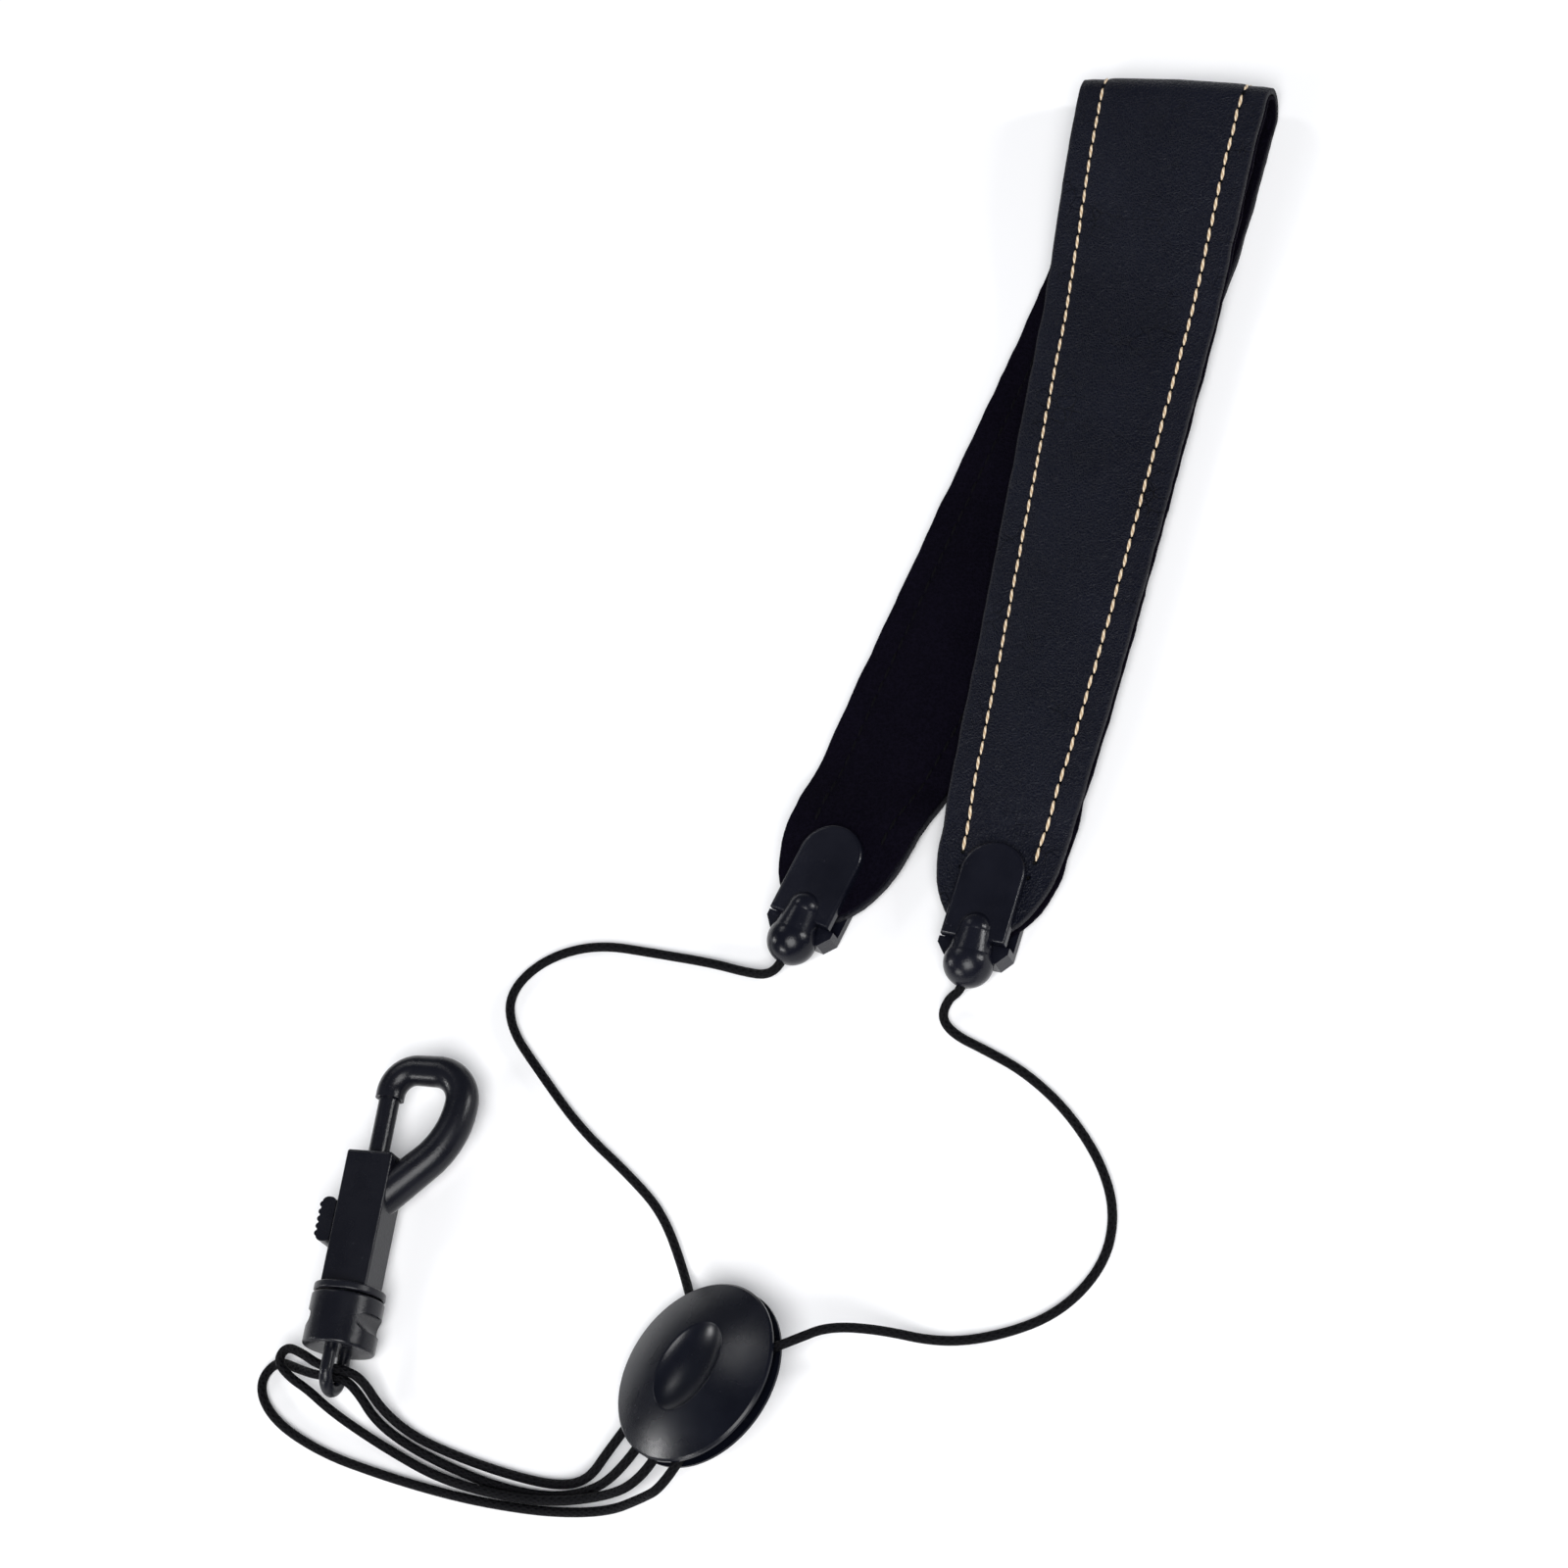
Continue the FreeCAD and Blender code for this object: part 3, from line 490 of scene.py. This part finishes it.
# The needle holes are painted nearly black: painted shade in the holes.
tree.links.new(between(tree, hole, hide, (0.001, 0.001, 0.001)), shader.inputs["Base Color"])
gloss = spread(tree, patterns["Height"], 0.1, 1.2, 0.60, 0.38)
tree.links.new(maths(tree, "MULTIPLY_ADD", cut, 0.25, gloss, True), shader.inputs["Roughness"])
crease_depth = maths(tree, "MULTIPLY", patterns["Creases"], maths(tree, "MULTIPLY_ADD", margin, -1.6, -0.9))
surface = maths(tree, "MULTIPLY_ADD", patterns["Height"], 0.6, crease_depth)
bump(tree, shader, maths(tree, "MULTIPLY_ADD", hole, -3.0, surface), 0.00024)
print("leather nodes", len(tree.nodes))

# %% Brushed lining and its foam
lining_black, tree, shader = add_finish("brushed lining", Specular_IOR_Level=0.04)
flat = node(tree, "ShaderNodeUVMap", uv_map="UVMap").outputs[0]
fuzz = noise_of(tree, flat, 3800.0, 4.0, 0.75)
loops = node(tree, "ShaderNodeTexVoronoi", {"Vector": flat, "Scale": 1500.0}).outputs["Distance"]
wear = spread(tree, noise_of(tree, flat, 60.0, 4.0, 0.6), 0.35, 0.7)
pile = maths(tree, "MULTIPLY_ADD", loops, 0.7, fuzz)
dark_to_light = spread(tree, maths(tree, "MULTIPLY_ADD", wear, 0.25, pile), 0.45, 1.35)
# The nap is painted lighter where the pile stands higher, so the pile's hollows carry painted shade; the
# fuzz adds random fibre tone and the worn patches real wear.
nap = between(tree, dark_to_light, (0.0009, 0.0006, 0.0022), (0.0036, 0.0027, 0.0074))
tree.links.new(nap, shader.inputs["Base Color"])
tree.links.new(spread(tree, fuzz, 0.3, 0.7, 0.85, 0.98), shader.inputs["Roughness"])
bump(tree, shader, pile, 0.00035)

foam_black, tree, shader = add_finish("closed cell foam", Specular_IOR_Level=0.2)
place = node(tree, "ShaderNodeTexCoord").outputs["Object"]
bubbles = node(tree, "ShaderNodeTexVoronoi", {"Vector": place, "Scale": 2200.0}).outputs["Distance"]
# The bubble hollows are painted darker than their walls: painted shade in the hollows.
walls_and_hollow_shade = between(tree, bubbles, (0.003, 0.003, 0.003), (0.012, 0.012, 0.013))
tree.links.new(walls_and_hollow_shade, shader.inputs["Base Color"])
tree.links.new(spread(tree, bubbles, 0.0, 0.8, 0.8, 0.95), shader.inputs["Roughness"])
bump(tree, shader, bubbles, 0.0002)

# %% [markdown]
# ## Laying the cord
# The four free stretches become pieces in place of their plain solids. The table also gives each one's real
# length and two points on its route, still_until and moving_from, which nothing here reads; the cords ride
# on no body, so nothing makes them follow the adjuster when it slides.

# %% The free cords
cord_plans = [
    ("cord_left", LEFT_ROUTE, 0.1569, (-0.010, -0.101, 0.001), (0.0060, -0.1240, 0.004)),
    ("cord_right", RIGHT_ROUTE, 0.1551, (0.073, -0.118, 0.001), (0.0385, -0.1375, 0.001)),
    ("cord_hook_inner", INNER_LOOP_ROUTE, 0.1953, (-0.050, -0.170, 0.001), (0.0, -0.172, 0.001)),
    ("cord_hook_outer", OUTER_LOOP_ROUTE, 0.2183, (-0.050, -0.170, 0.001), (0.0, -0.172, 0.001)),
]
for cord_name, route, length, still_until, moving_from in cord_plans:
    cord, path, measured = swept_cord(cord_name + "_braid", route)
    hand_over(cord, cord_name + "_braid", None, cord_black, [cord_name])
    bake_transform(cord)
    print("  measured", round(measured, 4), "m")

# %% [markdown]
# ## The neck band
# The band is a sandwich: leather outside, foam in the middle, brushed lining against the neck. It is cut
# wide in the middle and narrow at the ends, sewn through five and a half millimetres in from each edge,
# and folded in half here, lining inward. It could be bent with a curve modifier, but the two legs lie at
# different angles, so a flat grid is made first and each of its points is then laid along the band's own
# line, at its own distance from the edge. That keeps rows of points exactly where the seams pull the
# leather in.

# %% The line that the band lies along, in millimetres
FOLD_X, FOLD_Y, FOLD_RADIUS = 54.0, 157.2, 4.5
BAND_END_Y = -42.7
BAND_THICKNESS = 3.6
LEATHER_THICKNESS, FOAM_THICKNESS, LINING_THICKNESS = 1.2, 1.6, 0.8
NECK_WIDTH, END_WIDTH, END_TAPER, HALF_LENGTH, TAPER_POWER = 43.5, 27.5, 22.0, 205.0, 0.8
LEG_GAP, END_LIFT, LIFT_START_Y, LIFT_RUN = 0.3, 2.4, -7.0, 13.5
LOOP_START_Y, LOOP_RUN = 100.0, 50.0
FRONT_SLOPE, FRONT_END_CURL, CURL_START, CURL_RUN = 0.004, 2.3, 120.0, 85.0
BACK_SLOPE, BACK_BEND_START, BACK_BEND_SOFTNESS = 0.258, 40.0, 163.0


def smooth_step(value):
    share = min(max(value, 0.0), 1.0)
    return share * share * (3 - 2 * share)


def front_point(y):
    """The front leg lies on the back leg, rises to the loop at the fold and drops into its clip."""
    down = FOLD_Y - y
    curl = max(0.0, (down - CURL_START) / CURL_RUN)
    lying = 1.5 * BAND_THICKNESS + LEG_GAP
    loop_top = BAND_THICKNESS / 2 + 2 * FOLD_RADIUS
    loop = smooth_step((y - LOOP_START_Y) / LOOP_RUN)
    drop = smooth_step((LIFT_START_Y - y) / LIFT_RUN)
    z = lying + (loop_top - lying) * loop - (BAND_THICKNESS + LEG_GAP - END_LIFT) * drop
    return Vector((FOLD_X - FRONT_SLOPE * down - FRONT_END_CURL * curl * curl, y, z))


def back_point(y):
    """The back leg runs straight from the fold, then swings aside, and rises into its clip."""
    past = FOLD_Y - y - BACK_BEND_START
    x = FOLD_X - BACK_SLOPE / 2 * (past + math.sqrt(past * past + BACK_BEND_SOFTNESS))
    lift = smooth_step((LIFT_START_Y - y) / LIFT_RUN)
    return Vector((x, y, BAND_THICKNESS / 2 + END_LIFT * lift))


def fold_point(angle):
    y = FOLD_Y + FOLD_RADIUS * math.sin(angle)
    return Vector((FOLD_X, y, BAND_THICKNESS / 2 + FOLD_RADIUS + FOLD_RADIUS * math.cos(angle)))


LEG_STEPS, FOLD_STEPS = 96, 22
leg_heights = [BAND_END_Y + (FOLD_Y - BAND_END_Y) * step / LEG_STEPS for step in range(LEG_STEPS + 1)]
centres = [front_point(y) for y in leg_heights]
centres += [fold_point(math.pi * step / FOLD_STEPS) for step in range(1, FOLD_STEPS)]
centres += [back_point(y) for y in reversed(leg_heights)]
travel = [0.0]
for here, there in zip(centres, centres[1:]):
    travel.append(travel[-1] + (there - here).length)
BAND_LENGTH = travel[-1]
BAND_ROWS = len(centres) - 1
frames = []
for index, centre in enumerate(centres):
    along_way = (centres[min(index + 1, BAND_ROWS)] - centres[max(index - 1, 0)]).normalized()
    across_way = (Vector((1, 0, 0)) - along_way * along_way.x).normalized()
    frames.append((centre, across_way, across_way.cross(along_way)))
print("band length", round(BAND_LENGTH, 1), "mm in", BAND_ROWS, "rows")


def band_half_width(distance):
    nearer = min(distance, BAND_LENGTH - distance)
    share = min(max(0.0, (nearer - END_TAPER) / (HALF_LENGTH - END_TAPER)), 1.0)
    rounding = max(0.0, 1 - (nearer + 0.4) / END_TAPER)
    full_width = END_WIDTH + (NECK_WIDTH - END_WIDTH) * share ** TAPER_POWER
    return full_width * math.sqrt(1 - rounding * rounding) / 2


def on_back_leg(distance):
    return smooth_step((distance - BAND_LENGTH / 2 + 4) / 7)


def out_of_clip(distance):
    """0 where a clip bites the band, 1 from a little way past it."""
    return smooth_step((min(distance, BAND_LENGTH - distance) - 20) / 12)


# %% A layer of the band from a flat grid
EDGE_INSETS = [0.0, 0.45, 1.2, 2.2, 3.3, 4.3, 4.9, 5.25, 5.5, 5.75, 6.1, 6.8, 8.0, 9.8]
SEAM = SEAM_INSET / MM
LEATHER_LEVEL, FOAM_LEVEL, LINING_LEVEL = 1.2, -0.2, -1.4


def band_layer(name, level, thickness, shape, edge_wander, inset=0.0, seed=0.0):
    """A layer at a level above the band's middle, each point lifted by shape(inset, distance)."""
    columns = 2 * len(EDGE_INSETS) + 3
    select_only()
    bpy.ops.mesh.primitive_grid_add(x_subdivisions=columns - 1, y_subdivisions=BAND_ROWS, size=1.0)
    layer = bpy.context.object
    mesh = layer.data
    flat_map = mesh.uv_layers[0]
    flat_map.name = "UVMap"
    edge_map = mesh.uv_layers.new(name="EdgeMap")
    flat_map = mesh.uv_layers["UVMap"]
    places = {}
    for vertex in mesh.vertices:
        column = round((vertex.co.x + 0.5) * (columns - 1))
        row = round((vertex.co.y + 0.5) * BAND_ROWS)
        distance = travel[row]
        half = band_half_width(distance) - inset
        from_left = min(column, columns - 1 - column)
        squeeze = min(1.0, half / 14)
        if from_left < len(EDGE_INSETS):
            from_edge = EDGE_INSETS[from_left] * squeeze
        else:
            inner = EDGE_INSETS[-1] * squeeze
            middle = (columns - 1) / 2
            from_edge = half - (half - inner) * abs(column - middle) / (middle - len(EDGE_INSETS) + 1)
        side = -1 if column < columns / 2 else 1
        wander = noise.noise(Vector((distance * 0.16, side * 7.0, seed))) * 0.7
        wander += noise.noise(Vector((distance * 0.55, side * 9.0, seed + 3))) * 0.3
        across = side * (half - from_edge + edge_wander * wander * max(0.0, 1 - from_edge / 3))
        centre, across_way, normal = frames[row]
        lift = level + shape(from_edge + inset, distance)
        vertex.co = (centre + across_way * across + normal * lift) * MM
        places[vertex.index] = (across * MM, distance * MM, from_edge * MM)
    for loop in mesh.loops:
        across, distance, from_edge = places[loop.vertex_index]
        flat_map.data[loop.index].uv = (across, distance)
        edge_map.data[loop.index].uv = (from_edge, distance)
    solid = layer.modifiers.new("thickness", "SOLIDIFY")
    solid.thickness = thickness * MM
    solid.offset = 0.0
    rounding = layer.modifiers.new("rounded edges", "BEVEL")
    rounding.width = min(0.35, thickness * 0.3) * MM
    rounding.segments = 2
    rounding.angle_limit = math.radians(60)
    apply_modifiers(layer)
    bpy.ops.object.shade_smooth_by_angle(angle=math.radians(50))
    return layer


def seam_dip(inset):
    return math.exp(-((inset - SEAM) / 0.45) ** 2)


def leather_shape(inset, distance):
    """Crowned between the seams where nothing presses on it, pinched at them, flatter in the margin."""
    half = band_half_width(distance)
    free = 1 - on_back_leg(distance)
    middle = min(max((inset - SEAM) / max(half - SEAM, 1.0), 0.0), 1.0)
    crown = 0.45 * math.sin(math.pi / 2 * middle) ** 0.8
    slack = 0.10 * noise.noise(Vector((inset * 0.12, distance * 0.05, 1.0)))
    margin = -0.30 * smooth_step((SEAM - inset) / 1.0) - 0.25 * smooth_step((2.0 - inset) / 2.0)
    ripple = 0.22 * noise.noise(Vector((distance * 0.22, half, 5.0))) * smooth_step((SEAM - inset) / 4)
    return (free * (crown + slack + margin + ripple) - 0.35 * seam_dip(inset)) * out_of_clip(distance)


leather = band_layer("leather_hide", LEATHER_LEVEL, LEATHER_THICKNESS, leather_shape, 0.30, 0.0, 1.0)
hand_over(leather, "leather_hide", "strap", leather_black, ["leather_band"])

# %% Lining and foam
def lining_shape(inset, distance):
    """Drawn up to the leather at the seams and in the margin, and softly crowned where it shows."""
    shows = on_back_leg(distance)
    half = band_half_width(distance)
    middle = min(max((inset - SEAM) / max(half - SEAM, 1.0), 0.0), 1.0)
    crown = -0.30 * math.sin(math.pi / 2 * middle) * shows
    uneven = 0.16 * noise.noise(Vector((inset * 0.2, distance * 0.07, 9.0))) * shows
    margin = 0.60 * smooth_step((SEAM - inset) / 1.2)
    return (crown + uneven + margin + 0.5 * seam_dip(inset)) * out_of_clip(distance)


def foam_shape(inset, distance):
    return 0.2 * smooth_step((SEAM - inset) / 1.2)


lining = band_layer("neck_lining", LINING_LEVEL, LINING_THICKNESS, lining_shape, 0.45, -0.15, 4.0)
hand_over(lining, "neck_lining", "strap", lining_black, ["soft_lining"])

foam = band_layer("band_foam", FOAM_LEVEL, FOAM_THICKNESS, foam_shape, 0.1, 0.8, 6.0)
hand_over(foam, "band_foam", "strap", foam_black, ["foam_core"])

# %% [markdown]
# ## The stitching
# A walking-foot machine sews leather and lining together with a thick waxed thread: three millimetres of
# thread on top, then a needle hole, then the next. Seen close, each stitch is a small plump bead, a little
# askew in its row. One bead is modelled and copied along both seams, cream on the leather and black on
# the lining side.

# %% One stitch, standing along Z until its row is sewn
select_only()
bpy.ops.mesh.primitive_uv_sphere_add(segments=8, ring_count=6, radius=1.0)
stitch = bpy.context.object
for item in stitch.data.uv_layers[0].data:
    item.uv = (item.uv.y * 3 * MM, item.uv.x)
STITCH_HALF_WIDTH, STITCH_HALF_HEIGHT, STITCH_HALF_LENGTH = 0.38, 0.36, 1.66
bpy.ops.transform.resize(value=(STITCH_HALF_WIDTH * MM, STITCH_HALF_HEIGHT * MM, STITCH_HALF_LENGTH * MM))
bpy.ops.object.transform_apply(location=False, rotation=False, scale=True)
bpy.ops.object.shade_smooth()
stitch.name = "one_stitch"
print("one stitch has", len(stitch.data.polygons), "faces")


# %% Where a seam runs
def band_place(distance, inset, side, height):
    """A point at an inset from one edge, its height above the band's middle, and the directions there."""
    row = next(index for index in range(BAND_ROWS) if travel[index + 1] >= distance)
    share = (distance - travel[row]) / (travel[row + 1] - travel[row])
    here, there = frames[row], frames[row + 1]
    centre, across_way, normal = (a.lerp(b, share) for a, b in zip(here, there))
    point = centre + across_way * side * (band_half_width(distance) - inset) + normal * height
    return point, normal.normalized()


def sew_row(name, side, height_of, finish, flip, seed):
    dice = random.Random(seed)
    pitch = STITCH_PITCH / MM
    count = int((BAND_LENGTH - 2 * SEAM_START / MM) / pitch)
    copies = []
    for number in range(count):
        distance = SEAM_START / MM + (number + 0.5) * pitch
        wobble = dice.uniform(-0.10, 0.10)
        before, _ = band_place(distance - 1, SEAM + wobble, side, height_of(distance - 1))
        after, _ = band_place(distance + 1, SEAM + wobble, side, height_of(distance + 1))
        place, normal = band_place(distance, SEAM + wobble, side, height_of(distance))
        way = (after - before).normalized()
        sideways = normal.cross(way).normalized()
        skew = math.radians(4 + dice.uniform(-2, 2)) * flip
        way_turned = way * math.cos(skew) + sideways * math.sin(skew)
        sideways = normal.cross(way_turned).normalized()
        turned = Matrix((sideways, normal, way_turned)).transposed().to_4x4()
        copy = bpy.data.objects.new(name, stitch.data.copy())
        bpy.context.collection.objects.link(copy)
        copy.data.transform(Matrix.Translation(place * MM) @ turned)
        copies.append(copy)
    select_only(*copies)
    bpy.ops.object.join()
    row = bpy.context.object
    hand_over(row, name, "strap", finish)


def on_leather(distance):
    """Just proud of the leather, but sunk into it on the leg that lies on the table."""
    proud = 0.12 - 0.24 * on_back_leg(distance)
    return LEATHER_LEVEL + LEATHER_THICKNESS / 2 + leather_shape(SEAM, distance) + proud


def on_lining(distance):
    return LINING_LEVEL - LINING_THICKNESS / 2 + lining_shape(SEAM, distance) - 0.02


for side_name, side in (("left", -1), ("right", 1)):
    sew_row(side_name + "_seam_thread", side, on_leather, thread_cream, 1, 11 + side)
    sew_row(side_name + "_lining_thread", side, on_lining, thread_black, -1, 21 + side)
bpy.data.objects.remove(stitch)

# %% [markdown]
# ## The gate spring
# A small coil of spring wire sits in the hook's bore and pushes the gate bolt up into the nose. It could
# be a curve with a bevel, but a wire's round section carried round and up by the Screw modifier is the
# same motion as a coiling machine's. When the bolt is drawn back, the real coil flattens towards its foot;
# this one keeps its length and rides on the hook.

# %% A coil from one round section
HOOK_FOOT = Vector((-0.0652, -0.1565, 0.0078))
HOOK_LEAN = math.radians(4)
hook_side = Vector((math.cos(HOOK_LEAN), math.sin(HOOK_LEAN), 0))
hook_axis = Vector((-math.sin(HOOK_LEAN), math.cos(HOOK_LEAN), 0))
SPRING_LOW, SPRING_HIGH, COIL_RADIUS, WIRE_RADIUS, SPRING_TURNS = 21.05, 32.95, 1.9, 0.28, 7
select_only()
bpy.ops.mesh.primitive_circle_add(
    vertices=10, radius=WIRE_RADIUS * MM, location=(COIL_RADIUS * MM, 0, 0), rotation=(math.pi / 2, 0, 0),
)
spring = bpy.context.object
bpy.ops.object.transform_apply(location=True, rotation=True, scale=True)
winding = spring.modifiers.new("winding", "SCREW")
winding.steps = 24
winding.render_steps = 24
winding.iterations = SPRING_TURNS
winding.screw_offset = (SPRING_HIGH - SPRING_LOW - 2 * WIRE_RADIUS) / SPRING_TURNS * MM
apply_modifiers(spring)
bpy.ops.object.mode_set(mode="EDIT")
bpy.ops.mesh.select_all(action="SELECT")
bpy.ops.mesh.fill_holes(sides=12)
bpy.ops.mesh.select_all(action="SELECT")
bpy.ops.mesh.normals_make_consistent(inside=False)
bpy.ops.object.mode_set(mode="OBJECT")
bpy.ops.object.shade_smooth()
upright = Matrix((hook_side, hook_axis.cross(hook_side), hook_axis)).transposed().to_4x4()
spring_foot = HOOK_FOOT + hook_axis * (SPRING_LOW + WIRE_RADIUS) * MM
spring.data.transform(Matrix.Translation(spring_foot) @ upright)
hand_over(spring, "coil_spring", "hook", plain_steel, ["gate_spring"])
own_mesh(spring)

# %% [markdown]
# ## Moulded and metal pieces
# The clips, the adjuster and the hook are injection-moulded, and their shapes carry load or guide a moving
# part, so they stay exactly as they were designed. They only get their finishes here.

# %% Finishes for the designed pieces
finish_of_slot = {
    "satin_plastic": clip_black,
    "disc_plastic": disc_black,
    "hook_plastic": hook_black,
    "pin_metal": plain_steel,
    "screw_metal": black_steel,
    "spring_steel": plain_steel,
    "cord": cord_black,
}
slot_of_node = {row["node"]: row["material_slot"] for row in frame["record"]["subparts"]}
for node_name, piece in frame["nodes"].items():
    finish = finish_of_slot.get(slot_of_node[node_name])
    if finish is None:
        continue
    for place in piece.material_slots:
        place.material = finish
print("finished", len(frame["nodes"]), "designed pieces")

# %% [markdown]
# ## The table and the lamps
# A pale table and a pale room. A large key lamp hangs high on the eye's side, where no flat black surface
# mirrors it. A smaller one gives the leather and the adjuster's dome their sheen. Black plastic shows its
# shape only by what it reflects, so three low lamps draw thin lights along the rims and bevels.

# %% Table
select_only()
TABLE_SIZE, TABLE_DROP = 2.6, 0.0004
bpy.ops.mesh.primitive_plane_add(size=TABLE_SIZE, location=(0, 0, -TABLE_DROP))
table = bpy.context.object
table.name = "table"
paper, tree, shader = add_finish("pale table", Specular_IOR_Level=0.2)
place = node(tree, "ShaderNodeTexCoord").outputs["Object"]
mottle = noise_of(tree, place, 14.0, 4.0, 0.5)
tree.links.new(between(tree, mottle, (0.90, 0.90, 0.91), (0.93, 0.93, 0.94)), shader.inputs["Base Color"])
tree.links.new(spread(tree, mottle, 0.3, 0.7, 0.75, 0.85), shader.inputs["Roughness"])
table.data.materials.append(paper)

# %% Lamps
def softbox(name, direction, distance, width, height, watts):
    place = AIM + direction.normalized() * distance
    facing = direction.to_track_quat("Z", "Y").to_euler()
    bpy.ops.object.light_add(type="AREA", location=place, rotation=facing)
    lamp = bpy.context.object
    lamp.name = name
    lamp.data.shape = "RECTANGLE"
    lamp.data.size = width
    lamp.data.size_y = height
    lamp.data.energy = watts


lamps = [
    ("key lamp", (0.35, -0.55, 1.0), 2.0, 1.2, 1.2, 42.0),
    ("sheen lamp", (-0.58, 0.47, 0.67), 1.4, 0.30, 0.30, 2.0),
    ("right lamp", (0.875, 0.33, 0.36), 1.5, 0.22, 0.50, 9.0),
    ("end lamp", (-0.355, -0.875, 0.35), 1.5, 0.50, 0.22, 7.0),
    ("left lamp", (-0.90, -0.22, 0.30), 1.5, 0.22, 0.22, 5.0),
]
for lamp_name, direction, distance, width, height, watts in lamps:
    softbox(lamp_name, Vector(direction), distance, width, height, watts)
print("lamps", len(lamps))

# %% Room
ROOM_TINT, ROOM_LIGHT, BACKDROP_LIGHT = (0.84, 0.90, 1.0, 1.0), 0.13, 0.8
world = bpy.data.worlds.new("pale room")
bpy.context.scene.world = world
world.use_nodes = True
room = world.node_tree
backdrop = room.nodes["Background"]
backdrop.inputs["Color"].default_value = ROOM_TINT
seen_directly = node(room, "ShaderNodeLightPath").outputs["Is Camera Ray"]
strength = maths(room, "MULTIPLY_ADD", seen_directly, BACKDROP_LIGHT, ROOM_LIGHT)
room.links.new(strength, backdrop.inputs["Strength"])
bpy.context.scene.view_settings.view_transform = "Standard"
